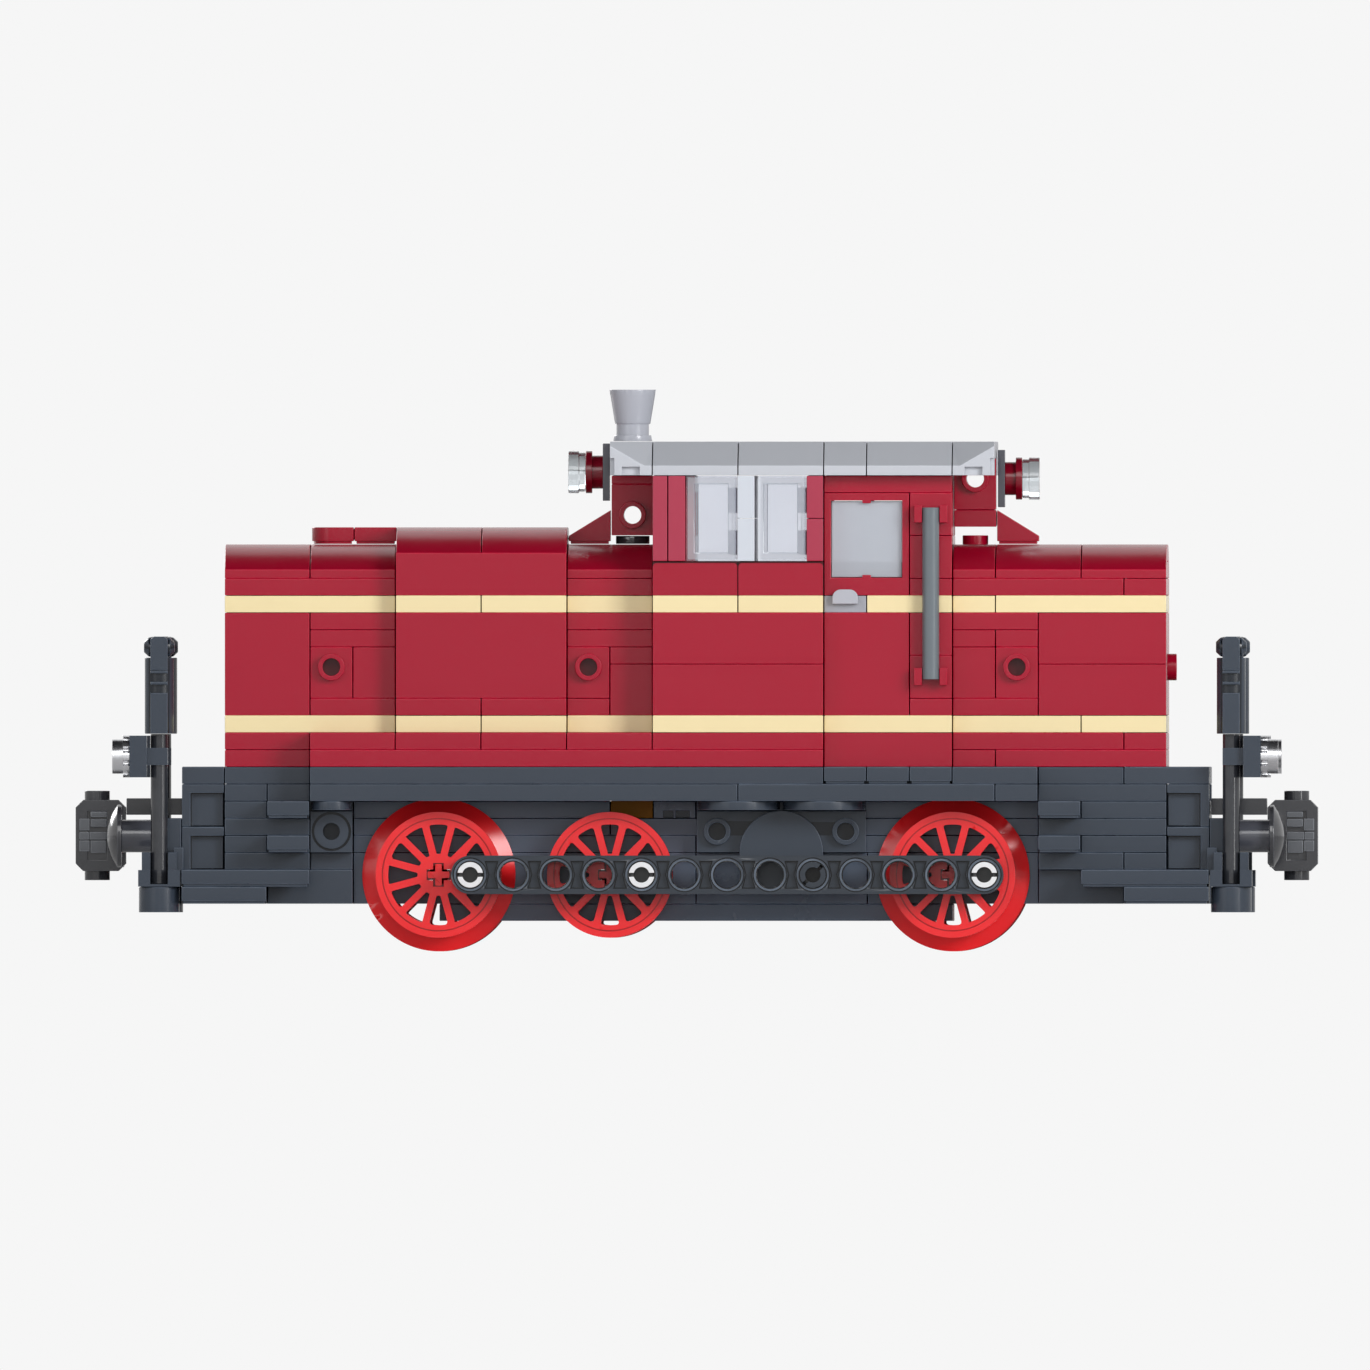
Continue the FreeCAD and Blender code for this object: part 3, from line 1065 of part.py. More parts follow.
def post_head(x, y):
    """Head of a post: a knob on a flat neck between two round lobes."""
    radius, half = POST_TOP_W / 2, POST_NECK_W / 2
    neck_low = level(1) + POST_START + POST_L + POST_FIT + POST_PLATE_H + POST_RIBS * (POST_SLOT_H + POST_RIB_H)
    base = level(1) + POST_START + POST_L + POST_TOP_H + 2 * POST_FIT
    front = y - radius - POST_PLATE_T
    top = base + LOBE_D
    outline = [(-half, neck_low + SEAM), (half, neck_low + SEAM), (half, top - KNOB_CHAMFER),
               (half - KNOB_CHAMFER, top), (KNOB_CHAMFER - half, top), (-half, top - KNOB_CHAMFER)]
    neck = extruded([Vector(x + dx, front, z) for dx, z in outline], ACROSS * (POST_PLATE_T - SEAM))
    knob = extruded([Vector(x + dx, front, max(z, base)) for dx, z in outline], ACROSS * (radius + 2 * half))
    middle, lobe_r = base + LOBE_D / 2, LOBE_D / 2
    profile = ((0, 0), (0, lobe_r), (LOBE_T / 2, lobe_r * 0.9), (LOBE_T, lobe_r / 2), (LOBE_T, 0))
    lobes = [turned(profile, Vector(x + side * LOBE_GAP, y, middle), ALONG * side) for side in (-1, 1)]
    return knob.fuse([neck] + lobes)


def post_footing(x, y):
    """Plate with an upright groove for the post and two prongs beside it."""
    half = STUD / 2 - SIDE_PLAY
    low, high = level(1), level(2) - SEAM
    plate = box(x - half, x + half, y - half, y + half, low, high)
    for side in (-1, 1):
        inner = x + side * (POST_D / 2 + POST_FIT)
        outer = inner + side * PRONG_W
        plate = plate.fuse(box(min(inner, outer), max(inner, outer), y - PRONG_W, y + PRONG_W, high, high + PLATE))
    groove = rod_along(UP, POST_D + 2 * POST_FIT, Vector(x, y, low + POST_START - POST_FIT), PLATE)
    opening = box(x - POST_D / 2 - POST_FIT, x + POST_D / 2 + POST_FIT, y - half, y,
                  low + POST_START - POST_FIT, high)
    return plate.cut([groove, opening])


def headlamp(x, y):
    """Headlamp block that clips around the post, and its silver lamp."""
    height = level(1) + POST_START + POST_L - LAMP_DROP
    half = STUD / 2 - SIDE_PLAY
    near, grip = x - LAMP_BLOCK_OUT, PLATE / 2
    holder = box(near - LAMP_BLOCK_T, near, y - half, y + half, height - half, height + half)
    clip = box(near, x + POST_D / 2, y - POST_D * 0.75, y + POST_D * 0.75, height - grip, height + grip)
    holder = holder.fuse(clip).cut(rod_along(UP, POST_D + 2 * POST_FIT, Vector(x, y, height - PLATE), 2 * PLATE))
    ring, lens = LAMP_RING_D / 2, LAMP_LENS_D / 2
    lamp = turned(((0, 0), (0, ring), (LAMP_RING_T, ring), (LAMP_RING_T, lens),
                   (LAMP_RING_T + LAMP_LENS_T, lens), (LAMP_RING_T + LAMP_LENS_T, 0)),
                  Vector(near - LAMP_BLOCK_T - POST_FIT, y, height), ALONG * -1)
    return holder, lamp


def end_posts():
    """Handrail posts with their feet and headlamps at the four corners."""
    end = -STUD * BOARD_END
    x, y = end - POST_OUT, -POST_STUD * STUD
    bar = rod_along(UP, POST_D, Vector(x, y, level(1) + POST_START), POST_L)
    foot = rod_along(UP, FOOT_D, Vector(x, y, level(1) - FOOT_H), FOOT_H - SEAM)
    holder, lamp = headlamp(x, y)
    for node, shapes in (("post_bars", [bar]), ("post_tops", [post_top(x, y), post_head(x, y)]),
                         ("post_footings", [post_footing(x, y), foot]),
                         ("headlamp_blocks", [holder]), ("headlamp_lenses", [lamp])):
        for shape in shapes:
            keep(node, both_ends(both_sides(shape)))


def build():
    """Make every node and write one file for each."""
    for section in (running_board, frame_ends, frame_sides, wheelsets, rods, lower_body, long_hood,
                    rear_hood, upper_stripe, roof, cab, handrails, top_lamps, hood_top_details,
                    buffers_and_couplers, end_posts):
        section()
    os.makedirs("parts", exist_ok=True)
    for node, shapes in NODES.items():
        solids = [solid for shape in shapes for solid in shape.Solids]
        whole = solids[0] if len(solids) == 1 else Part.makeCompound(solids)
        whole.exportStep("parts/" + node + ".step")
        print(node, len(solids), "valid" if whole.isValid() else "INVALID")


build()
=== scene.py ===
"""Looks of a brick-built toy diesel shunting locomotive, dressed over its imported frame."""
from __future__ import annotations

import json
import logging
import math
import random
from dataclasses import dataclass, field
from enum import Enum
from typing import Callable, Iterable

import bmesh
import bpy
from mathutils import Matrix, Vector
from mathutils.bvhtree import BVHTree

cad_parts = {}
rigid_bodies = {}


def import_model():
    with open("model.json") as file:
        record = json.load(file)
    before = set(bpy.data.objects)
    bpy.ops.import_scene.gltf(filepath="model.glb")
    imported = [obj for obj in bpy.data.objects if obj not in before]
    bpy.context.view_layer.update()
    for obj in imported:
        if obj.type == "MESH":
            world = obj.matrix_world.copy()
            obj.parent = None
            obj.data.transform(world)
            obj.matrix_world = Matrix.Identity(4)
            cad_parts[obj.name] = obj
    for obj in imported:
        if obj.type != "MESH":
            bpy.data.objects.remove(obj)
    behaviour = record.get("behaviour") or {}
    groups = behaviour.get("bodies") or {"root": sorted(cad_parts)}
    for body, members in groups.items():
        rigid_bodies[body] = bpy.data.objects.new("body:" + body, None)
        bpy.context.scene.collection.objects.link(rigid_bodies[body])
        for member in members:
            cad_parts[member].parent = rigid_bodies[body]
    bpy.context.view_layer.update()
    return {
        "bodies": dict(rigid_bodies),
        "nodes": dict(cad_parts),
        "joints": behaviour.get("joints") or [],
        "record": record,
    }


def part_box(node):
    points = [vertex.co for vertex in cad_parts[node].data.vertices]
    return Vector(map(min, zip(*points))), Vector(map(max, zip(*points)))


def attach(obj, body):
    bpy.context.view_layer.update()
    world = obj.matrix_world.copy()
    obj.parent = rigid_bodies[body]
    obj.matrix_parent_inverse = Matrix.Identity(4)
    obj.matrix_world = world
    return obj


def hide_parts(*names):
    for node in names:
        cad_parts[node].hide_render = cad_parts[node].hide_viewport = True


LOG = logging.getLogger("locomotive")
MM = 0.001
SAME = 0.001 * MM
JOIN = 0.002 * MM
FLAT = math.radians(0.4)
CORNER = math.radians(28)
SMOOTH = math.radians(50)
EDGE = 0.12 * MM
SEAM = 0.1 * MM
BORDER = 0.3 * MM
UP = Vector((0.0, 0.0, 1.0))


class Value:
    """A number socket whose arithmetic adds Math nodes to its tree."""

    def __init__(self, tree: "Tree", socket: bpy.types.NodeSocket) -> None:
        """Wrap an output socket of a tree."""
        self.tree = tree
        self.socket = socket

    def _math(self, operation: str, first: object, second: object) -> "Value":
        """Join two values or numbers by one Math node."""
        return self.tree.add("ShaderNodeMath", {"operation": operation}, {0: first, 1: second})

    def __add__(self, other: object) -> "Value":
        """Sum."""
        return self._math("ADD", self, other)

    def __radd__(self, other: object) -> "Value":
        """Sum, reflected."""
        return self._math("ADD", other, self)

    def __sub__(self, other: object) -> "Value":
        """Difference."""
        return self._math("SUBTRACT", self, other)

    def __rsub__(self, other: object) -> "Value":
        """Difference, reflected."""
        return self._math("SUBTRACT", other, self)

    def __mul__(self, other: object) -> "Value":
        """Product."""
        return self._math("MULTIPLY", self, other)

    def __rmul__(self, other: object) -> "Value":
        """Product, reflected."""
        return self._math("MULTIPLY", other, self)


class Tree:
    """Node tree of a material or the world, built through one method."""

    def __init__(self, owner: bpy.types.ID) -> None:
        """Clear the owner's nodes.

        Args:
            owner: Material or world that the tree belongs to.
        """
        owner.use_nodes = True
        self.nodes = owner.node_tree.nodes
        self.links = owner.node_tree.links
        self.nodes.clear()

    def add(self, kind: str, settings: dict | None = None, inputs: dict | None = None,
            output: int | str = 0) -> Value:
        """Add a node.

        Args:
            kind: Blender's type name of the node.
            settings: Attributes that are set first.
            inputs: Values or links by socket name or number.
            output: Socket that the result stands for.

        Returns:
            The chosen output socket.
        """
        node = self.nodes.new(kind)
        for name, value in (settings or {}).items():
            setattr(node, name, value)
        for name, value in (inputs or {}).items():
            if isinstance(value, Value):
                self.links.new(value.socket, node.inputs[name])
            else:
                node.inputs[name].default_value = value
        if not node.outputs:
            return Value(self, None)
        return Value(self, node.outputs[output])


def span(surface: bmesh.types.BMesh) -> tuple[Vector, Vector]:
    """Measure a surface.

    Args:
        surface: Surface that is measured.

    Returns:
        Its lowest and highest corners.
    """
    places = [vert.co for vert in surface.verts]
    return (Vector(min(place[axis] for place in places) for axis in range(3)),
            Vector(max(place[axis] for place in places) for axis in range(3)))


def block(along: tuple[float, float], across: tuple[float, float],
          upward: tuple[float, float]) -> bmesh.types.BMesh:
    """Make a plain block between three pairs of coordinates.

    Args:
        along: Its ends in X, in millimetres.
        across: Its ends in Y, in millimetres.
        upward: Its ends in Z, in millimetres.

    Returns:
        The closed block.
    """
    pairs = (along, across, upward)
    size = Matrix.Diagonal([abs(second - first) * MM for first, second in pairs] + [1.0])
    middle = Matrix.Translation([(first + second) / 2 * MM for first, second in pairs])
    surface = bmesh.new()
    bmesh.ops.create_cube(surface, size=1.0, matrix=middle @ size)
    return surface


def ring(inner: float, outer: float, thickness: float, steps: int = 96) -> bmesh.types.BMesh:
    """Flat ring around the Y axis, turned from a small rectangle.

    Args:
        inner: Inner radius in metres.
        outer: Outer radius in metres.
        thickness: Size along Y in metres.
        steps: Steps around.

    Returns:
        The closed ring.
    """
    surface = bmesh.new()
    half = thickness / 2
    profile = [surface.verts.new((radius, depth, 0.0)) for radius, depth in
               ((inner, -half), (outer, -half), (outer, half), (inner, half))]
    edges = [surface.edges.new((profile[index - 1], profile[index])) for index in range(4)]
    bmesh.ops.spin(surface, geom=profile + edges, cent=(0.0, 0.0, 0.0), axis=(0.0, 1.0, 0.0),
                   angle=2 * math.pi, steps=steps, use_merge=True)
    bmesh.ops.remove_doubles(surface, verts=surface.verts, dist=0.1 * SAME)
    bmesh.ops.recalc_face_normals(surface, faces=surface.faces)
    return surface


def mark(surface: bmesh.types.BMesh, name: str) -> bmesh.types.BMLayerItem:
    """Number of that name on each face, added where the surface has none yet."""
    return surface.faces.layers.float.get(name) or surface.faces.layers.float.new(name)


def along_axle(edge: bmesh.types.BMEdge) -> bool:
    """Tell whether an edge runs along Y, as in a hole or between two spokes."""
    first, second = (vert.co for vert in edge.verts)
    return math.hypot(first.x - second.x, first.z - second.z) < 10 * SAME


def linear(red: int, green: int, blue: int) -> tuple[float, float, float, float]:
    """Turn a screen colour into the linear colour that shaders take.

    Args:
        red: Red from 0 to 255.
        green: Green from 0 to 255.
        blue: Blue from 0 to 255.

    Returns:
        The linear colour with full cover.
    """
    def channel(value: int) -> float:
        """Turn one channel into its linear share."""
        share = value / 255
        return share / 12.92 if share <= 0.04045 else ((share + 0.055) / 1.055) ** 2.4
    return (channel(red), channel(green), channel(blue), 1.0)


@dataclass(frozen=True)
class Stuff:
    """What a piece is made of: a name, a screen colour and a shader."""

    name: str
    colour: tuple[int, int, int]

    def material(self) -> bpy.types.Material:
        """Build the material.

        Returns:
            The new material.
        """
        material = bpy.data.materials.new(self.name)
        tree = Tree(material)
        place = tree.add("ShaderNodeTexCoord", output="Object")
        tree.add("ShaderNodeOutputMaterial", None, {"Surface": self.shader(tree, place)})
        return material

    def shader(self, tree: Tree, place: Value) -> Value:
        """Build the shader.

        Args:
            tree: Node tree that it is added to.
            place: Place on the piece.

        Returns:
            The shader.
        """
        raise NotImplementedError


@dataclass(frozen=True)
class Plastic(Stuff):
    """Moulded plastic of one colour, with its gloss, slight waviness and rubbed patches, a painted highlight
    on its rounded edges and painted shade in its recesses.
    """

    roughness: float = 0.16
    waviness: float = 0.35
    tint: float = 0.05
    # rim: share of a paler colour painted on the rounded edges as a highlight; shine: how much paler that
    # painted highlight is.
    rim: float = 0.0
    shine: float = 3.5
    specular: float = 0.5

    def shader(self, tree: Tree, place: Value) -> Value:
        """Build the shader.

        Args:
            tree: Node tree that it is added to.
            place: Place on the piece.

        Returns:
            The shader.
        """
        flow = tree.add("ShaderNodeTexNoise", None, {"Vector": place, "Scale": 70.0, "Detail": 2.0})
        grain = tree.add("ShaderNodeTexNoise", None, {"Vector": place, "Scale": 2600.0, "Detail": 3.0})
        rubbed_and_highlight = tree.add("ShaderNodeTexNoise", None, {"Vector": place, "Scale": 240.0, "Detail": 4.0,
                                                       "Roughness": 0.6})
        brick = tree.add("ShaderNodeAttribute", {"attribute_name": "tint"}, output="Fac")
        edge = tree.add("ShaderNodeAttribute", {"attribute_name": "edge"}, output="Fac")
        painted_shade = tree.add("ShaderNodeAttribute", {"attribute_name": "painted_shade"}, output="Fac")
        # Each brick's random tone and the flow set the tone; the edge term lightens rounded edges as a
        # painted highlight.
        shade = (brick - 0.5) * self.tint + (flow - 0.5) * (self.tint * 0.6) + edge * rubbed_and_highlight * 0.35 + 0.5
        base = linear(*self.colour)
        dark = tuple(channel * 0.72 for channel in base[:3]) + (1.0,)
        light = tuple(min(1.0, channel * 1.28 + 0.002) for channel in base[:3]) + (1.0,)
        shadow = tuple(channel * 0.12 for channel in base[:3]) + (1.0,)
        pale = tuple(min(1.0, channel * self.shine + 0.015) for channel in base[:3]) + (1.0,)
        colour = tree.add("ShaderNodeMix", {"data_type": "RGBA"}, {"Factor": shade, 6: dark, 7: light}, 2)
        # Painted highlight: rounded edges mixed towards the pale colour, patchy by the same noise that
        # varies the gloss.
        painted_edge_highlight = edge * rubbed_and_highlight * self.rim
        colour = tree.add("ShaderNodeMix", {"data_type": "RGBA"}, {"Factor": painted_edge_highlight, 6: colour, 7: pale}, 2)
        # Painted shade: faces in recesses, seams, grooves and bores mixed towards a near-black copy of the
        # colour.
        colour = tree.add("ShaderNodeMix", {"data_type": "RGBA"}, {"Factor": painted_shade, 6: colour, 7: shadow}, 2)
        gloss = (rubbed_and_highlight - 0.5) * 0.06 + (flow - 0.5) * 0.06 + edge * 0.05 + self.roughness
        height = flow * 0.8 + grain * 0.02
        bump = tree.add("ShaderNodeBump", None, {"Height": height, "Strength": self.waviness,
                                                 "Distance": 0.0004})
        surface = tree.add("ShaderNodeBsdfPrincipled", None, {
            "Base Color": colour, "Roughness": gloss, "Normal": bump, "IOR": 1.53,
            "Specular IOR Level": self.specular})
        return surface


@dataclass(frozen=True)
class ClearPlastic(Stuff):
    """Clear moulded plastic that shows what lies behind it, with painted shade that makes its rim greyer and
    less clear.
    """

    clearness: float = 0.8
    roughness: float = 0.04
    rim: tuple[int, int, int] = (152, 160, 170)

    def shader(self, tree: Tree, place: Value) -> Value:
        """Build the shader.

        Args:
            tree: Node tree that it is added to.
            place: Place on the piece.

        Returns:
            The shader.
        """
        flow = tree.add("ShaderNodeTexNoise", None, {"Vector": place, "Scale": 90.0, "Detail": 2.0})
        bump = tree.add("ShaderNodeBump", None, {"Height": flow, "Strength": 0.2, "Distance": 0.0003})
        # The painted shade mark greys the rim lightly and the dark step inside it fully, and makes both less
        # clear.
        rim = tree.add("ShaderNodeAttribute", {"attribute_name": "painted_shade"}, output="Fac")
        gloss = flow * 0.04 + self.roughness
        colour = tree.add("ShaderNodeMix", {"data_type": "RGBA"},
                          {"Factor": rim, 6: linear(*self.colour), 7: linear(*self.rim)}, 2)
        body = tree.add("ShaderNodeBsdfPrincipled", None, {
            "Base Color": colour, "Roughness": gloss, "Normal": bump, "IOR": 1.5})
        through = tree.add("ShaderNodeBsdfTransparent", None, {"Color": linear(248, 249, 252)})
        share = rim * 0.75 + (flow - 0.5) * 0.06 + (1.0 - self.clearness)
        surface = tree.add("ShaderNodeMixShader", None, {0: share, 1: through, 2: body})
        return surface


@dataclass(frozen=True)
class Silver(Stuff):
    """Bright metal coating over plastic."""

    roughness: float = 0.14

    def shader(self, tree: Tree, place: Value) -> Value:
        """Build the shader.

        Args:
            tree: Node tree that it is added to.
            place: Place on the piece.

        Returns:
            The shader.
        """
        flow = tree.add("ShaderNodeTexNoise", None, {"Vector": place, "Scale": 260.0, "Detail": 3.0})
        bump = tree.add("ShaderNodeBump", None, {"Height": flow, "Strength": 0.3, "Distance": 0.0003})
        gloss = flow * 0.1 + self.roughness
        surface = tree.add("ShaderNodeBsdfPrincipled", None, {
            "Base Color": linear(*self.colour), "Metallic": 1.0, "Roughness": gloss, "Normal": bump})
        return surface


@dataclass(frozen=True)
class LensPlastic(Stuff):
    """Solid clear plastic that bends what lies behind it."""

    roughness: float = 0.03

    def shader(self, tree: Tree, place: Value) -> Value:
        """Build the shader.

        Args:
            tree: Node tree that it is added to.
            place: Place on the piece.

        Returns:
            The shader.
        """
        flow = tree.add("ShaderNodeTexNoise", None, {"Vector": place, "Scale": 300.0, "Detail": 2.0})
        bump = tree.add("ShaderNodeBump", None, {"Height": flow, "Strength": 0.15, "Distance": 0.0003})
        gloss = flow * 0.03 + self.roughness
        surface = tree.add("ShaderNodeBsdfPrincipled", None, {
            "Base Color": linear(*self.colour), "Roughness": gloss, "Normal": bump, "IOR": 1.49,
            "Transmission Weight": 1.0})
        return surface


class Finish(Enum):
    """Finishes of the toy's pieces."""

    # rim and shine set the painted highlight on each finish's rounded edges.
    DARK_RED = Plastic("dark_red_plastic", (157, 2, 38), roughness=0.24, rim=0.3, specular=0.34)
    # Darker copy of the dark red for the top lamp bodies: painted shade.
    PAINTED_SHADE_LAMP_RED = Plastic("painted_shade_lamp_red_plastic", (122, 2, 28), roughness=0.2, rim=0.3, specular=0.4)
    # Pinker, rougher copy of the dark red for the cab's uprights: a painted sheen.
    PAINTED_SHEEN_RED = Plastic("painted_sheen_red_plastic", (162, 42, 68), roughness=0.36, specular=0.42)
    CREAM = Plastic("cream_plastic", (243, 216, 168), roughness=0.24, specular=0.42)
    DARK_GREY = Plastic("dark_grey_plastic", (52, 60, 71), roughness=0.24, rim=0.7, specular=0.36)
    # Lighter copy of the dark grey for the frame behind the wheels: painted light that lifts its shade.
    PAINTED_LIGHT_FRAME_GREY = Plastic("painted_light_frame_plastic", (78, 89, 105), roughness=0.26, rim=0.4, specular=0.36)
    ROD_GREY = Plastic("rod_plastic", (47, 53, 61), roughness=0.22, waviness=0.2, rim=1.6, shine=7.0,
                       specular=0.36)
    RAIL_GREY = Plastic("rail_plastic", (104, 112, 118), roughness=0.16, specular=0.5)
    POST_GREY = Plastic("post_plastic", (44, 46, 51), roughness=0.1, specular=0.6)
    LIGHT_GREY = Plastic("light_grey_plastic", (200, 205, 214), roughness=0.24, specular=0.42)
    ROOF_GREY = Plastic("roof_plastic", (188, 191, 198), roughness=0.4, specular=0.3)
    MID_GREY = Plastic("mid_grey_plastic", (174, 176, 185), roughness=0.2, specular=0.45)
    BLACK = Plastic("black_plastic", (48, 49, 53), roughness=0.14, rim=0.6, specular=0.6)
    RIDGE_GREY = Plastic("ridge_plastic", (84, 87, 92), roughness=0.2, rim=0.8, specular=0.5)
    SHANK_GREY = Plastic("shank_plastic", (74, 76, 84), roughness=0.16, specular=0.6)
    BRIGHT_RED = Plastic("bright_red_plastic", (236, 32, 38), roughness=0.22, waviness=0.12, rim=0.3,
                         specular=0.42)
    PIN_GREY = Plastic("pin_plastic", (226, 227, 230), roughness=0.2, specular=0.42)
    BROWN = Plastic("brown_plastic", (124, 80, 6), roughness=0.34, specular=0.1)
    CLEAR = ClearPlastic("clear_plastic", (238, 241, 248), clearness=0.9)
    DOOR_CLEAR = ClearPlastic("door_pane_plastic", (206, 212, 220), clearness=0.5)
    LENS = LensPlastic("lens_plastic", (206, 212, 216))
    SILVER = Silver("silver_coating", (214, 215, 218), roughness=0.24)


class Paints:
    """Materials by finish, each built once."""

    def __init__(self) -> None:
        """Start with no materials."""
        self.made: dict[Finish, bpy.types.Material] = {}

    def of(self, finish: Finish) -> bpy.types.Material:
        """Give the material of a finish.

        Args:
            finish: Finish that is looked up.

        Returns:
            Its material.
        """
        if finish not in self.made:
            self.made[finish] = finish.value.material()
        return self.made[finish]


class Workshop:
    """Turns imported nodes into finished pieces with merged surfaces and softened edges."""

    # Depth, darkness and line width of the painted shade in recesses.
    RECESS = 0.45 * MM
    RECESS_SHADE = 0.85
    RECESS_LINE = 0.2 * MM

    def __init__(self, frame: dict, paints: Paints) -> None:
        """Keep the frame's nodes and the materials.

        Args:
            frame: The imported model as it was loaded.
            paints: Materials by finish.
        """
        self.nodes = frame["nodes"]
        self.paints = paints
        self.count = 0
        whole = bmesh.new()
        for node in self.nodes.values():
            whole.from_mesh(node.data)
        self.walls = BVHTree.FromBMesh(whole)
        whole.free()

    def solids(self, node: str) -> list[bmesh.types.BMesh]:
        """Copy a node's solids.

        Args:
            node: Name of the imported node.

        Returns:
            A merged surface for each solid.
        """
        surface = self.surface_of(node)
        solids = self.solids_of(surface)
        surface.free()
        return solids

    def surface_of(self, node: str) -> bmesh.types.BMesh:
        """Copy a node's triangles into one merged surface with whole flat faces.

        Args:
            node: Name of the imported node.

        Returns:
            The merged surface.
        """
        surface = bmesh.new()
        surface.from_mesh(self.nodes[node].data)
        mark(surface, "painted_shade")
        self.merge(surface)
        surface.faces.index_update()
        return surface

    @staticmethod
    def merge(surface: bmesh.types.BMesh) -> None:
        """Join a surface's double points and its flat triangles."""
        bmesh.ops.remove_doubles(surface, verts=surface.verts, dist=JOIN)
        bmesh.ops.dissolve_limit(surface, angle_limit=FLAT, verts=surface.verts, edges=surface.edges)

    @staticmethod
    def solids_of(surface: bmesh.types.BMesh) -> list[bmesh.types.BMesh]:
        """Split a surface into its separate closed solids, in the order of their first faces.

        Args:
            surface: Merged surface of a node.

        Returns:
            A surface for each solid.
        """
        solids = []
        seen: set[int] = set()
        for first in surface.faces:
            if first.index in seen:
                continue
            stack, island = [first], {first.index}
            while stack:
                for edge in stack.pop().edges:
                    for other in edge.link_faces:
                        if other.index not in island:
                            island.add(other.index)
                            stack.append(other)
            seen |= island
            solid = surface.copy()
            solid.faces.ensure_lookup_table()
            bmesh.ops.delete(solid, geom=[face for face in solid.faces if face.index not in island],
                             context="FACES")
            solids.append(solid)
        return solids

    def is_covered(self, solid: bmesh.types.BMesh) -> bool:
        """Tell whether other bricks lie right above a brick, along both of its sides.

        Args:
            solid: Brick that is tested, before its edges are softened.

        Returns:
            Whether all of its length is covered.
        """
        low, high = span(solid)
        for share in (0.02, 0.25, 0.5, 0.75, 0.98):
            x = low.x + (high.x - low.x) * share
            for y in (low.y + BORDER, high.y - BORDER):
                if self.walls.ray_cast(Vector((x, y, high.z + SAME)), UP, 2 * SEAM)[0] is None:
                    return False
        return True

    @staticmethod
    def lid(solid: bmesh.types.BMesh, outward: Vector) -> list[bmesh.types.BMFace]:
        """Find the outermost flat faces of a solid.

        Args:
            solid: Surface that is searched.
            outward: Direction in which they are outermost.

        Returns:
            The faces found.
        """
        reach = max(outward.dot(vert.co) for vert in solid.verts) - SAME
        return [face for face in solid.faces if all(outward.dot(vert.co) > reach for vert in face.verts)]

    @staticmethod
    def raise_lid(lid: list[bmesh.types.BMFace], outward: Vector) -> None:
        """Move outermost faces half a seam outwards, so that they meet the next brick."""
        for vert in {vert for face in lid for vert in face.verts}:
            vert.co += outward * SEAM

    def close_seam(self, solid: bmesh.types.BMesh, covered: bool) -> None:
        """Keep daylight out of the seam above a brick, and paint a dark line of shade along it where bricks
        lie above.

        Args:
            solid: Softened brick.
            covered: Whether bricks lie right above it, so that its seam gets a dark line of painted shade.
        """
        lid = self.lid(solid, UP)
        if covered and lid:
            self.outline(solid, lid, BORDER)
        self.raise_lid(lid, UP)

    def close_sides(self, solid: bmesh.types.BMesh) -> None:
        """Keep daylight out of the seams between a brick and the next ones along the toy, with a dark line
        of painted shade along them.

        Args:
            solid: Softened brick.
        """
        for end in (-1.0, 1.0):
            ahead = Vector((end, 0.0, 0.0))
            lid = self.lid(solid, ahead)
            rim = {vert for face in lid for vert in face.verts}
            if not rim:
                continue
            middle = sum((vert.co for vert in rim), Vector()) / len(rim)
            spots = [vert.co.lerp(middle, 0.15) + ahead * SAME for vert in rim]
            if all(self.walls.ray_cast(spot, ahead, 2.5 * SEAM)[0] is not None for spot in spots):
                # Painted shade: a dark line along the seam.
                self.outline(solid, lid, BORDER)
                self.raise_lid(lid, ahead)

    @staticmethod
    def soften(solid: bmesh.types.BMesh, width: float, segments: int = 2,
               skip: Callable[[bmesh.types.BMEdge], bool] = lambda edge: False) -> None:
        """Round the outer edges of one solid, mark the rounded faces for the painted edge highlight, and
        mark what stays sharp.

        Args:
            solid: Surface that is changed.
            width: Width of the rounding in metres.
            segments: Steps across the rounding.
            skip: Test for edges that stay as they are.
        """
        solid.normal_update()
        painted_edge_highlight = mark(solid, "edge")
        edges = [edge for edge in solid.edges if len(edge.link_faces) == 2 and not skip(edge)
                 and edge.calc_face_angle_signed(0.0) > CORNER]
        if edges:
            made = bmesh.ops.bevel(solid, geom=edges, offset=width, offset_type="OFFSET", segments=segments,
                                   profile=0.5, affect="EDGES", clamp_overlap=True, material=-1)
            # The rounded faces get the painted edge highlight.
            for face in made["faces"]:
                face[painted_edge_highlight] = 1.0
        solid.normal_update()
        for edge in solid.edges:
            edge.smooth = len(edge.link_faces) == 2 and edge.calc_face_angle(0.0) < SMOOTH

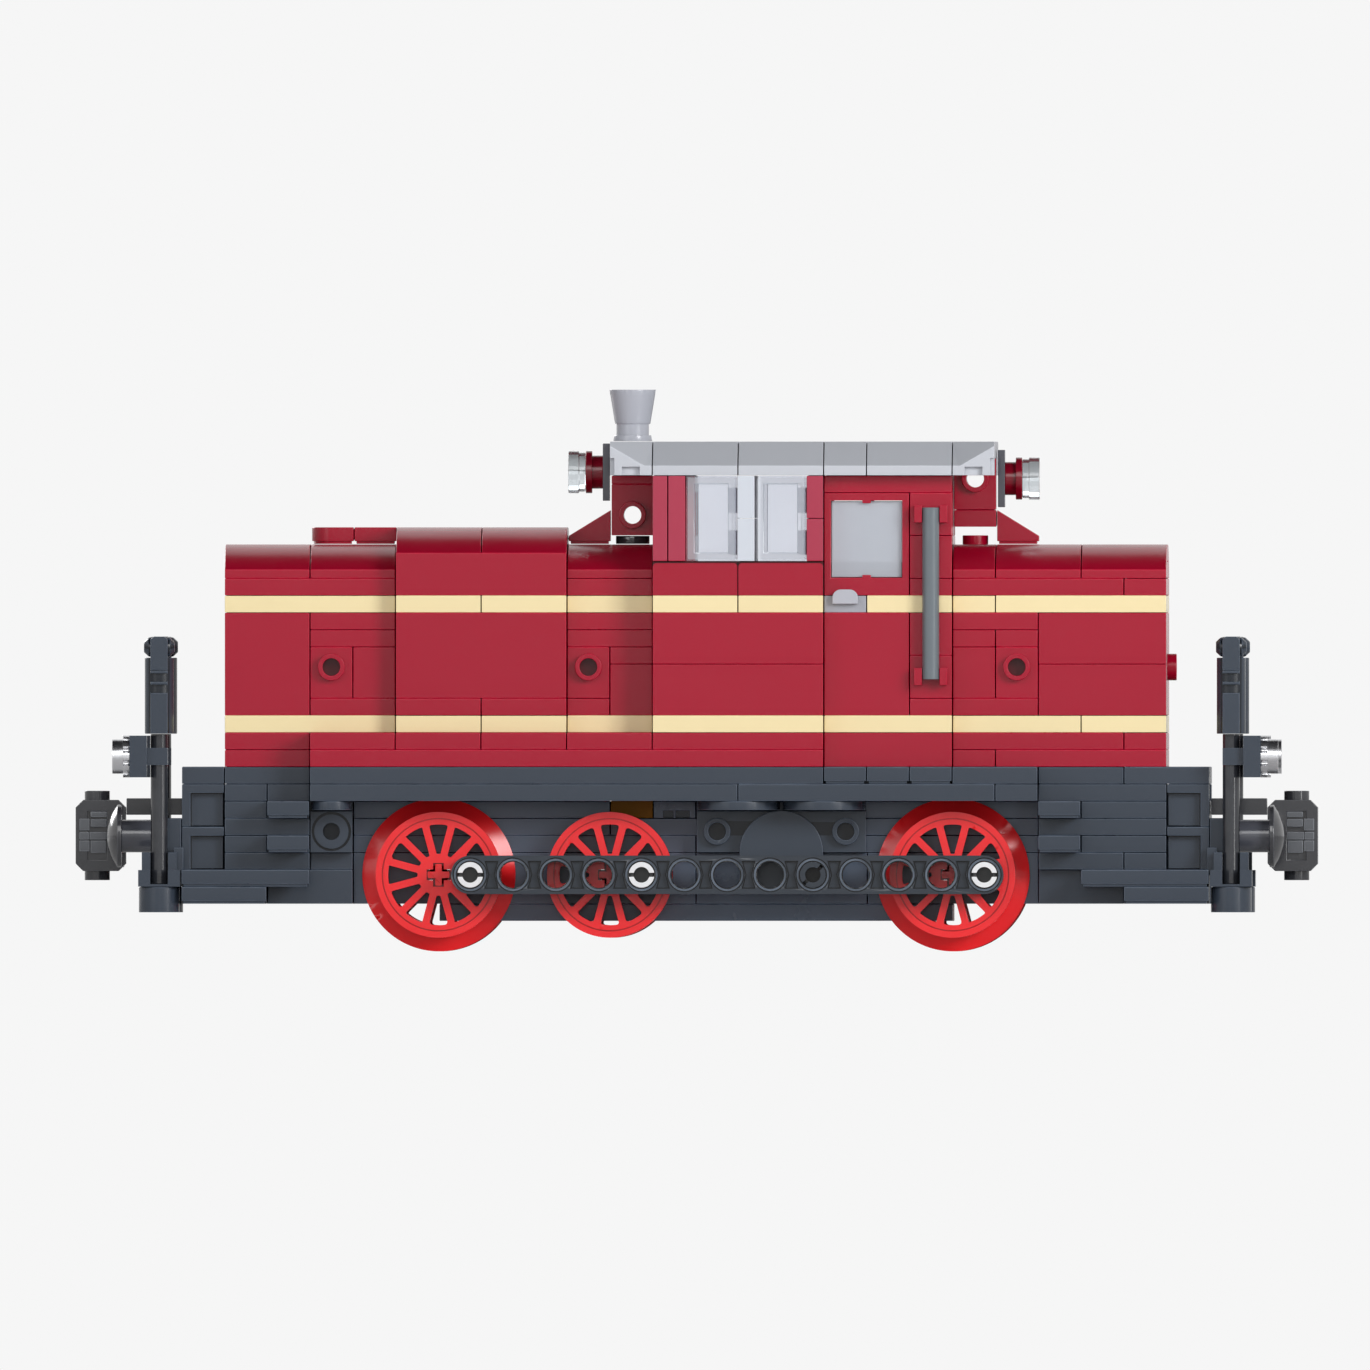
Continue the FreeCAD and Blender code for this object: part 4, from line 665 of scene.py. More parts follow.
    @staticmethod
    def carve(solid: bmesh.types.BMesh, tool: bmesh.types.BMesh) -> bmesh.types.BMesh:
        """Cut a tool's shape out of a solid.

        Args:
            solid: Surface that is cut, freed here.
            tool: Closed surface of what is taken away, freed here.

        Returns:
            The cut surface.
        """
        objects = []
        for surface in (solid, tool):
            mesh = bpy.data.meshes.new("shape")
            surface.to_mesh(mesh)
            surface.free()
            objects.append(bpy.data.objects.new("shape", mesh))
            bpy.context.scene.collection.objects.link(objects[-1])
        cut = objects[0].modifiers.new("cut", "BOOLEAN")
        cut.operation = "DIFFERENCE"
        cut.solver = "EXACT"
        cut.object = objects[1]
        depsgraph = bpy.context.evaluated_depsgraph_get()
        mesh = bpy.data.meshes.new_from_object(objects[0].evaluated_get(depsgraph))
        result = bmesh.new()
        result.from_mesh(mesh)
        meshes = [thing.data for thing in objects] + [mesh]
        for thing in objects:
            bpy.data.objects.remove(thing)
        for old in meshes:
            bpy.data.meshes.remove(old)
        Workshop.merge(result)
        mark(result, "painted_shade")
        return result

    def piece(self, name: str, solids: Iterable[bmesh.types.BMesh], finish: Finish) -> bpy.types.Object:
        """Join solids into one object whose faces carry a tint for each solid.

        Args:
            name: Name of the new object.
            solids: Closed surfaces, freed here.
            finish: Finish of the piece.

        Returns:
            The new object.
        """
        whole = bmesh.new()
        random.seed(name)
        mesh = bpy.data.meshes.new(name)
        for solid in solids:
            tint = solid.faces.layers.float.new("tint")
            mark(solid, "painted_shade")
            shade = random.random()
            for face in solid.faces:
                face[tint] = shade
                face.smooth = True
            solid.to_mesh(mesh)
            solid.free()
            whole.from_mesh(mesh)
        whole.to_mesh(mesh)
        whole.free()
        piece = bpy.data.objects.new(name, mesh)
        bpy.context.scene.collection.objects.link(piece)
        mesh.materials.append(self.paints.of(finish))
        steady = piece.modifiers.new("steady_normals", "WEIGHTED_NORMAL")
        steady.keep_sharp = True
        steady.weight = 90
        self.count += 1
        return piece

    def extra(self, name: str, solids: list[bmesh.types.BMesh], finish: Finish,
              width: float = EDGE) -> bpy.types.Object:
        """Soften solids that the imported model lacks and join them.

        Args:
            name: Name of the new object.
            solids: Closed surfaces, freed here.
            finish: Finish of the piece.
            width: Width of its rounded edges in metres.

        Returns:
            The new object.
        """
        for solid in solids:
            self.soften(solid, width)
        return self.piece(name, solids, finish)

    @staticmethod
    def settle(piece: bpy.types.Object, node: str, body: str, slot: str) -> None:
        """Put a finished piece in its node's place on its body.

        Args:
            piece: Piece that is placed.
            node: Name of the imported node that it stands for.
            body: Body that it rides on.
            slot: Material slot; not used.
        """
        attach(piece, body)
        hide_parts(node)
        LOG.info("%s: %d faces on %s", piece.name, len(piece.data.polygons), body)

    @staticmethod
    def outline(solid: bmesh.types.BMesh, faces: list[bmesh.types.BMFace], width: float,
                amount: float = 1.0) -> None:
        """Draw a dark line of painted shade around the inside of recessed faces.

        Args:
            solid: Surface that is changed.
            faces: Floors of its recesses.
            width: Width of the line in metres.
            amount: How dark the line is, up to 1.
        """
        painted_shade = mark(solid, "painted_shade")
        made = bmesh.ops.inset_region(solid, faces=faces, thickness=width, use_even_offset=True)
        for face in made["faces"]:
            face[painted_shade] = amount

    @staticmethod
    def sink(solid: bmesh.types.BMesh, amount: float, back: float, away: float = 0.0) -> None:
        """Paint shade on the faces that look sideways from behind the front of a solid.

        Args:
            solid: Surface that is changed.
            amount: How dark they are, up to 1.
            back: How far behind the front they lie at least, in metres.
            away: How far from the solid's outer faces they keep at least, in metres.
        """
        painted_shade = mark(solid, "painted_shade")
        for face in Workshop.recessed(solid, back, away):
            face[painted_shade] = amount

    @staticmethod
    def recessed(solid: bmesh.types.BMesh, back: float, away: float = 0.0) -> list[bmesh.types.BMFace]:
        """Faces that look sideways from behind the front of a solid.

        Args:
            solid: Surface that is searched.
            back: How far behind the front they lie at least, in metres.
            away: How far from the solid's outer faces they keep at least, in metres.

        Returns:
            The faces found.
        """
        solid.normal_update()
        low, high = span(solid)
        front = max(abs(low.y), abs(high.y))
        found = []
        for face in solid.faces:
            place = face.calc_center_median()
            inside = all(low[axis] + away <= vert.co[axis] <= high[axis] - away
                         for vert in face.verts for axis in (0, 2))
            if inside and abs(place.y) < front - back and face.normal.y * place.y > 0.7 * abs(place.y):
                found.append(face)
        return found

    def finish_off(self, node: str, solids: list[bmesh.types.BMesh], finish: Finish, body: str = "chassis",
                   width: float = EDGE, slot: str | None = None) -> bpy.types.Object:
        """Soften a node's reworked solids and put them in its place.

        Args:
            node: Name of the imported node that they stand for.
            solids: Closed surfaces, freed here.
            finish: Finish of the plastic.
            body: Body that it rides on.
            width: Width of its rounded edges in metres.
            slot: Material slot, by default the finish's own name.

        Returns:
            The finished piece.
        """
        for solid in solids if width else ():
            self.soften(solid, width)
        piece = self.piece(node + "_dressed", solids, finish)
        self.settle(piece, node, body, slot or finish.name.lower())
        return piece

    def dress(self, node: str, finish: Finish, body: str = "chassis", width: float = EDGE,
              slot: str | None = None, closed: bool = False, sunk: float | None = None,
              lined: bool = False, sided: bool = False) -> bpy.types.Object:
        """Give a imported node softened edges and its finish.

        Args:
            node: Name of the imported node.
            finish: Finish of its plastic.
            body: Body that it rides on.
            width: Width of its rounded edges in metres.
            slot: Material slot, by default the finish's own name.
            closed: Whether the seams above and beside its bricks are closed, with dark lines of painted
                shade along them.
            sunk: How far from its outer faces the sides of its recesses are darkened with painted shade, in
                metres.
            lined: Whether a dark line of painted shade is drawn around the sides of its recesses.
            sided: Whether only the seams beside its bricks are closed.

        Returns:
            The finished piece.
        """
        solids = self.solids(node)
        for solid in solids:
            covered = closed and self.is_covered(solid)
            self.soften(solid, width)
            if sunk is not None:
                self.sink(solid, self.RECESS_SHADE, self.RECESS, away=sunk)
            if lined:
                self.outline(solid, self.recessed(solid, self.RECESS), self.RECESS_LINE)
            if closed:
                self.close_seam(solid, covered)
            if closed or sided:
                self.close_sides(solid)
        return self.finish_off(node, solids, finish, body, 0.0, slot)


@dataclass
class Section:
    """Part of the toy that is dressed with a workshop's tools."""

    shop: Workshop

    def build(self) -> None:
        """Dress the section's nodes."""
        raise NotImplementedError


@dataclass
class Body(Section):
    """Hoods, stripes, running board and roof."""

    edge: float = EDGE
    red: tuple[str, ...] = ("body_base_courses", "long_hood_walls", "hood_stud_bricks",
                            "raised_hood_backing", "raised_hood_tiles", "rear_hood_walls")
    cream: tuple[str, ...] = ("lower_stripe", "upper_stripe")
    dark: tuple[str, ...] = ("running_board_deck", "running_board_edges")
    tops: tuple[str, ...] = ("long_hood_covers", "rear_hood_covers", "hood_top_pieces", "lamp_columns")
    # Stud bores get painted shade on their sides.
    bored: dict[str, float] = field(default_factory=lambda: {"hood_stud_bricks": EDGE + 0.03 * MM})
    foot: float = 0.9 * MM
    neck: float = 3.2 * MM
    neck_slope: float = 0.02 * MM
    neck_bore: float = 2.6 * MM
    neck_share: float = 0.955
    filler: tuple[tuple[float, float], float, tuple[float, float]] = ((80.1, 87.9), 7.9, (69.75, 72.75))
    spine: tuple[tuple[float, float, float, float, float], ...] = (
        (-79.5, 79.5, 0.75, 28.3, 72.7), (-56.08, -23.92, 0.75, 72.0, 76.0),
        (-8.08, -7.92, 15.0, 72.9, 76.0), (47.92, 48.08, 15.0, 72.9, 76.0), (-94.4, -53.0, 0.75, 9.2, 28.2),
        (-12.5, 44.0, 0.75, 9.2, 28.2), (53.0, 94.4, 0.75, 9.2, 28.2))
    spine_edge: float = 0.02 * MM

    def build(self) -> None:
        """Dress the body's nodes."""
        for nodes, finish in ((self.red, Finish.DARK_RED), (self.cream, Finish.CREAM),
                              (self.dark, Finish.DARK_GREY)):
            for node in nodes:
                self.shop.dress(node, finish, width=self.edge, closed=True, sunk=self.bored.get(node))
        for node in self.tops:
            self.shop.dress(node, Finish.DARK_RED, width=self.edge, closed=node == "lamp_columns",
                            sided=True)
        self.shop.dress("roof_edges", Finish.ROOF_GREY, width=self.edge, slot="light_grey", sided=True)
        self.shop.dress("roof_slabs", Finish.ROOF_GREY, width=self.edge, slot="light_grey", sided=True)
        self.chimney()
        self.fillers()
        self.inner_wall()

    def inner_wall(self) -> None:
        """Stand thin black walls inside the body and the frame, behind the seams that go right through: a
        dark sheet standing for the shade inside.
        """
        walls = [block((x0, x1), (-half, half), (z0, z1)) for x0, x1, half, z0, z1 in self.spine]
        piece = self.shop.extra("inner_wall", walls, Finish.BLACK, self.spine_edge)
        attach(piece, "chassis")

    def fillers(self) -> None:
        """Close the slots under the top strips at both ends of the hoods."""
        (x0, x1), half, upward = self.filler
        blocks = [block((end * x0, end * x1), (-half, half), upward) for end in (-1, 1)]
        piece = self.shop.extra("hood_end_fillers", blocks, Finish.DARK_RED, self.edge)
        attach(piece, "chassis")

    def chimney(self) -> None:
        """Turn a step between the chimney's neck and its bell."""
        pipe = self.shop.solids("chimney")[0]
        low, high = span(pipe)
        foot, step = low.z + self.foot, low.z + self.neck
        for height in (foot, step - self.neck_slope, step):
            bmesh.ops.bisect_plane(pipe, geom=pipe.verts[:] + pipe.edges[:] + pipe.faces[:],
                                   dist=0.1 * SAME, plane_co=(0.0, 0.0, height), plane_no=UP)
        centre = (low + high) / 2
        for vert in pipe.verts:
            out = Vector((vert.co.x - centre.x, vert.co.y - centre.y))
            if foot - SAME < vert.co.z < step - SAME and out.length > self.neck_bore:
                vert.co.x = centre.x + out.x * self.neck_share
                vert.co.y = centre.y + out.y * self.neck_share
        self.shop.finish_off("chimney", [pipe], Finish.MID_GREY, width=self.edge, slot="light_grey")


@dataclass
class Cab(Section):
    """Cab sides, windows, doors and the handrails beside them."""

    edge: float = EDGE
    red: tuple[str, ...] = ("cab_end_walls", "door_panels", "handrail_column")
    sill_bottom: float = 66.0 * MM
    sill_top: float = 72.9 * MM
    sill_back: float = 0.5 * MM
    sill_shade: float = 0.9
    behind: float = 1.0 * MM
    handle_shade: float = 0.25
    window_shade: float = 0.8
    rim: float = 1.45 * MM
    rim_shade: float = 0.35
    step: float = 0.12 * MM
    pane_edge: float = 0.1 * MM
    door_depth: float = 2.0 * MM

    def build(self) -> None:
        """Dress the cab's nodes."""
        for node in self.red:
            self.shop.dress(node, Finish.DARK_RED, width=self.edge, closed=True)
        self.walls()
        self.shop.dress("cab_window_frames", Finish.LIGHT_GREY, width=self.edge)
        handles = self.shop.solids("door_handles")
        for handle in handles:
            # Painted shade on the hollows behind each handle.
            self.shop.sink(handle, self.handle_shade, self.behind)
        self.shop.finish_off("door_handles", handles, Finish.MID_GREY, width=self.edge, slot="light_grey")
        self.shop.dress("handrail_bars", Finish.RAIL_GREY, width=self.edge, slot="dark_grey")
        self.panes()

    def walls(self) -> None:
        """Dress the side walls; the uprights beside the windows get a pinker, rougher copy of the dark red
        as a painted sheen.
        """
        solids = self.shop.solids("cab_side_walls")
        for solid in solids:
            low, high = span(solid)
            covered = self.shop.is_covered(solid)
            self.shop.soften(solid, self.edge)
            # Painted shade on the recessed sides of the sill bricks.
            if low.z > self.sill_bottom and high.z < self.sill_top:
                self.shop.sink(solid, self.sill_shade, self.sill_back)
            self.shop.close_seam(solid, covered)
            self.shop.close_sides(solid)
        piece = self.shop.finish_off("cab_side_walls", solids, Finish.DARK_RED, width=0.0)
        # Faces above the sill get the painted sheen copy of the dark red.
        piece.data.materials.append(self.shop.paints.of(Finish.PAINTED_SHEEN_RED))
        for polygon in piece.data.polygons:
            if polygon.center.z > self.sill_top + 2 * SEAM:
                polygon.material_index = 1

    def panes(self) -> None:
        """Give the clear window panels their rims, and the doors their panes."""
        windows, doors = [], []
        for pane in self.shop.solids("cab_panes"):
            low, high = span(pane)
            if high.y - low.y < self.door_depth:
                doors.append(pane)
            else:
                self.rim_window(pane)
                windows.append(pane)
            self.shop.soften(pane, self.pane_edge)
        piece = self.shop.piece("cab_panes_dressed", windows, Finish.CLEAR)
        self.shop.settle(piece, "cab_panes", "chassis", "clear")
        piece = self.shop.piece("door_panes_dressed", doors, Finish.DOOR_CLEAR)
        self.shop.settle(piece, "cab_panes", "chassis", "clear")

    def rim_window(self, window: bmesh.types.BMesh) -> None:
        """Draw the rim of a window panel and the dark step inside it, with a light painted shade on the rim
        and a full one on the step.

        Args:
            window: Clear panel that is changed.
        """
        # Painted shade on the recessed sides of the panel.
        self.shop.sink(window, self.window_shade, self.behind)
        front = max(abs(vert.co.y) for vert in window.verts)
        painted_shade = mark(window, "painted_shade")
        window.normal_update()
        faces = [face for face in window.faces if abs(abs(face.calc_center_median().y) - front) < SAME]
        bmesh.ops.inset_region(window, faces=faces, thickness=BORDER, use_even_offset=True)
        # The rim gets a light painted shade, the step inside it a full one.
        for width, depth, shade in ((self.rim - BORDER, 0.0, self.rim_shade), (self.step, -self.step, 1.0)):
            made = bmesh.ops.inset_region(window, faces=faces, thickness=width, depth=depth,
                                          use_even_offset=True)
            for face in made["faces"]:
                face[painted_shade] = shade


@dataclass
class Underframe(Section):
    """Frame pieces below the running board."""

    edge: float = EDGE
    dark: tuple[str, ...] = ("frame_corner_panels", "frame_end_courses", "entry_steps", "axle_beams",
                             "frame_courses", "frame_pierced_blocks", "frame_flange_plates",
                             "frame_stud_panels")
    inner: tuple[str, ...] = ("axle_beams", "frame_courses")
    # Recesses of these pieces get painted shade; the corner panels also a dark line of painted shade.
    bored: dict[str, float] = field(default_factory=lambda: {
        "frame_courses": 0.0, "frame_pierced_blocks": 0.0, "frame_stud_panels": 0.15 * MM})

    def build(self) -> None:
        """Dress the frame's nodes."""
        for node in self.dark:
            # The inner frame behind the wheels gets the lighter copy, painted light against its shade.
            finish = Finish.PAINTED_LIGHT_FRAME_GREY if node in self.inner else Finish.DARK_GREY
            self.shop.dress(node, finish, width=self.edge, slot="dark_grey", closed=True,
                            sunk=self.bored.get(node), lined=node == "frame_corner_panels")
        bricks = self.shop.solids("frame_brown_blocks")
        for brick in bricks:
            self.shop.raise_lid(self.shop.lid(brick, UP), UP)
        self.shop.finish_off("frame_brown_blocks", bricks, Finish.BROWN, width=self.edge)


@dataclass
class RunningGear(Section):
    """Wheelsets and coupling rods."""

    edge: float = 0.15 * MM
    pin_edge: float = 0.1 * MM
    rod_edge: float = 0.2 * MM
    names: tuple[str, ...] = ("front", "middle", "rear")
    wheel_face: float = 23.8 * MM
    hub: float = 3.5 * MM
    spoke_round: float = 0.9 * MM
    spoke_reach: float = 1.7 * MM
    flat_area: float = 2.0 * MM * MM
    boss: tuple[float, float] = (3.95 * MM, 3.55 * MM)
    boss_play: float = 0.03 * MM
    bore_reach: float = 2.7 * MM
    groove: tuple[float, float] = (10.35 * MM, 10.6 * MM)
    groove_depth: float = 0.35 * MM
    groove_shade: float = 0.5
    axle_inset: float = 0.35 * MM
    axle_smooth: float = math.radians(30)
    rod_face: tuple[float, float] = (24.2 * MM, 31.6 * MM)
    face_play: float = 0.2 * MM
    ring_radius: float = 3.25 * MM
    ring_depth: float = 0.6 * MM
    ring_highlight: float = 0.5
    pocket_shade: float = 0.12
    holes: int = 13
    pitch: float = 8.0 * MM
    end_depth: float = 0.25 * MM
    end_bore: float = 0.93
    line: float = 0.22 * MM
    cross_line: float = 0.34 * MM

    def build(self) -> None:
        """Finish wheels, axles, pins and rods."""
        for name in self.names:
            body = "wheelset_" + name
            pins = self.shop.solids(name + "_crank_pins")
            wheels = [self.wheel(solid, pins) for solid in self.shop.solids(name + "_wheels")]
            self.shop.finish_off(name + "_wheels", wheels, Finish.BRIGHT_RED, body, 0.0)
            axle = self.shop.solids(name + "_axle")[0]
            self.sink_ends(axle)
            self.shop.finish_off(name + "_axle", [axle], Finish.BRIGHT_RED, body, 0.0)
            for pin in pins:
                self.darken(pin)
            self.shop.finish_off(name + "_crank_pins", pins, Finish.PIN_GREY, body, self.pin_edge)
        for side in ("near", "far"):
            node, body = "coupling_rod_" + side, "rod_" + side
            rod = self.shop.carve(self.shop.solids(node)[0], self.ring_tool(node))
            self.line_rod(rod)
            self.shop.finish_off(node, [rod], Finish.ROD_GREY, body, 0.0, "dark_grey")
            pin = self.shop.solids("rod_pin_" + side)[0]
            self.darken(pin)
            self.shop.finish_off("rod_pin_" + side, [pin], Finish.ROD_GREY, body, self.pin_edge, "dark_grey")

    @staticmethod
    def middle(solid: bmesh.types.BMesh) -> Vector:
        """Middle of a solid's box."""
        low, high = span(solid)
        return (low + high) / 2

    def wheel(self, solid: bmesh.types.BMesh,
              pins: list[bmesh.types.BMesh]) -> bmesh.types.BMesh:
        """Slim the crank boss, round the corners between the spokes and turn the groove in the rim, with
        painted shade on its floor.

        Args:
            solid: Wheel, freed here.
            pins: Crank pins of the wheelset.

        Returns:
            The finished wheel.
        """
        centre = self.middle(solid)
        side = math.copysign(1.0, centre.y)
        crank = next(self.middle(pin) for pin in pins if self.middle(pin).y * side > 0)
        self.slim_boss(solid, centre, crank)
        self.round_corners(solid, centre)
        tool = ring(*self.groove, self.groove_depth * 2)
        bmesh.ops.translate(tool, verts=tool.verts, vec=(centre.x, side * self.wheel_face, centre.z))
        wheel = self.shop.carve(solid, tool)
        self.shop.soften(wheel, self.edge, skip=along_axle)
        wheel.normal_update()
        for edge in wheel.edges:
            if any(abs(face.normal.y) > 0.999 and face.calc_area() > self.flat_area
                   for face in edge.link_faces):
                edge.smooth = False
        # Painted shade on the groove's floor.
        painted_shade = mark(wheel, "painted_shade")
        floor = self.wheel_face - self.groove_depth
        for face in wheel.faces:
            if abs(abs(face.calc_center_median().y) - floor) < 50 * SAME:
                face[painted_shade] = self.groove_shade
        return wheel

    def slim_boss(self, solid: bmesh.types.BMesh, centre: Vector, crank: Vector) -> None:
        """Draw a wheel's crank boss a little slimmer.

        Args:
            solid: Wheel that is changed.
            centre: Middle of the wheel.
            crank: Middle of its crank pin.
        """
        plain, slim = self.boss
        for vert in solid.verts:
            out = Vector((vert.co.x - crank.x, vert.co.z - crank.z))
            bore = math.hypot(vert.co.x - centre.x, vert.co.z - centre.z) < self.bore_reach
            if abs(out.length - plain) < self.boss_play and not bore:
                vert.co.x = crank.x + out.x * slim / plain
                vert.co.z = crank.z + out.y * slim / plain

    def round_corners(self, solid: bmesh.types.BMesh, centre: Vector) -> None:
        """Round the inner corners at both ends of a wheel's spokes.

        Args:
            solid: Wheel that is changed.
            centre: Middle of the wheel.
        """
        solid.normal_update()
        upright = {edge: edge.calc_face_angle_signed(0.0) for edge in solid.edges
                   if along_axle(edge) and len(edge.link_faces) == 2}
        spots = []
        for edge, turn in upright.items():
            first, second = (vert.co for vert in edge.verts)
            straight = abs(first.x - second.x) < SAME and abs(first.z - second.z) < SAME
            out = math.hypot(first.x - centre.x, first.z - centre.z)
            if straight and turn < -CORNER and out > self.hub:
                spots.append((first.x, first.z))
        facets = [edge for edge, turn in upright.items()
                  if abs(turn) < CORNER and any(self.away(edge, spot) < self.spoke_reach for spot in spots)]
        bmesh.ops.dissolve_edges(solid, edges=facets, use_verts=True, use_face_split=False)
        for spot in dict.fromkeys(spots):
            corner = [edge for edge in solid.edges if along_axle(edge) and self.away(edge, spot) < SAME]
            bmesh.ops.bevel(solid, geom=corner, offset=self.spoke_round, offset_type="OFFSET", segments=4,
                            profile=0.5, affect="EDGES", clamp_overlap=True, material=-1)

    @staticmethod
    def away(edge: bmesh.types.BMEdge, spot: tuple[float, float]) -> float:
        """Distance of an edge along the axle from a spot, seen from the side."""
        place = edge.verts[0].co
        return math.hypot(place.x - spot[0], place.z - spot[1])

    def sink_ends(self, axle: bmesh.types.BMesh) -> None:
        """Draw an axle's ends a little into the hubs, with a dark line of painted shade around them.

        Args:
            axle: Axle that is changed.
        """
        for vert in axle.verts:
            if abs(vert.co.y) > self.wheel_face - 10 * SAME:
                vert.co.y -= math.copysign(self.axle_inset, vert.co.y)
        reach = self.wheel_face - self.axle_inset
        for side in (-1, 1):
            ends = [face for face in axle.faces if abs(face.calc_center_median().y - side * reach) < SAME]
            self.shop.outline(axle, ends, self.cross_line)
        axle.normal_update()
        for edge in axle.edges:
            edge.smooth = edge.calc_face_angle(0.0) < self.axle_smooth

    def line_rod(self, rod: bmesh.types.BMesh) -> None:
        """Soften a rod, draw dark lines of painted shade in its pockets and around its holes, and give its
        pocket floors a light painted shade and its ring floors a painted highlight.

        Args:
            rod: Rod that is changed.
        """
        low, high = span(rod)
        near, far = sorted((abs(low.y), abs(high.y)))
        painted_edge_highlight, painted_shade = mark(rod, "edge"), mark(rod, "painted_shade")
        rod.normal_update()
        floors = [face for face in rod.faces if abs(face.normal.y) > 0.99
                  and near + self.face_play < abs(face.calc_center_median().y) < far - self.face_play]
        self.shop.outline(rod, floors, self.line)
        pocket = far - self.ring_depth - self.face_play / 2
        # Pocket floors get a light painted shade, ring floors a painted highlight.
        for face in floors:
            if abs(face.calc_center_median().y) < pocket:
                face[painted_shade] = self.pocket_shade
            else:
                face[painted_edge_highlight] = self.ring_highlight
        self.shop.soften(rod, self.rod_edge, skip=along_axle)

    def darken(self, pin: bmesh.types.BMesh) -> None:
        """Paint shade on a pin's bore and slot, where hardly any light falls.

        Args:
            pin: Pin that is changed.
        """
        painted_shade = mark(pin, "painted_shade")
        reach = max(abs(vert.co.y) for vert in pin.verts)
        low, high = span(pin)
        centre = (low + high) / 2
        bore = (high.x - low.x) / 2 * self.end_bore
        for face in pin.faces:
            place = face.calc_center_median()
            inside = math.hypot(place.x - centre.x, place.z - centre.z) < bore
            if inside and abs(place.y) < reach - self.end_depth:
                face[painted_shade] = 1.0

    def ring_tool(self, node: str) -> bmesh.types.BMesh:
        """Shallow round recesses at both faces of a rod's holes.

        Args:
            node: Name of the rod's node.

        Returns:
            The cutters as one surface.
        """
        low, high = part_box(node)
        side = math.copysign(1.0, low[1])
        first = (low[0] + high[0]) / 2 - self.pitch * (self.holes - 1) / 2
        height = (low[2] + high[2]) / 2
        turn = Matrix.Rotation(math.pi / 2, 4, "X")
        tool = bmesh.new()
        for index in range(self.holes):
            for face in self.rod_face:
                place = Matrix.Translation((first + index * self.pitch, side * face, height))
                bmesh.ops.create_cone(tool, cap_ends=True, segments=48, radius1=self.ring_radius,
                                      radius2=self.ring_radius, depth=2 * self.ring_depth,
                                      matrix=place @ turn)
        return tool


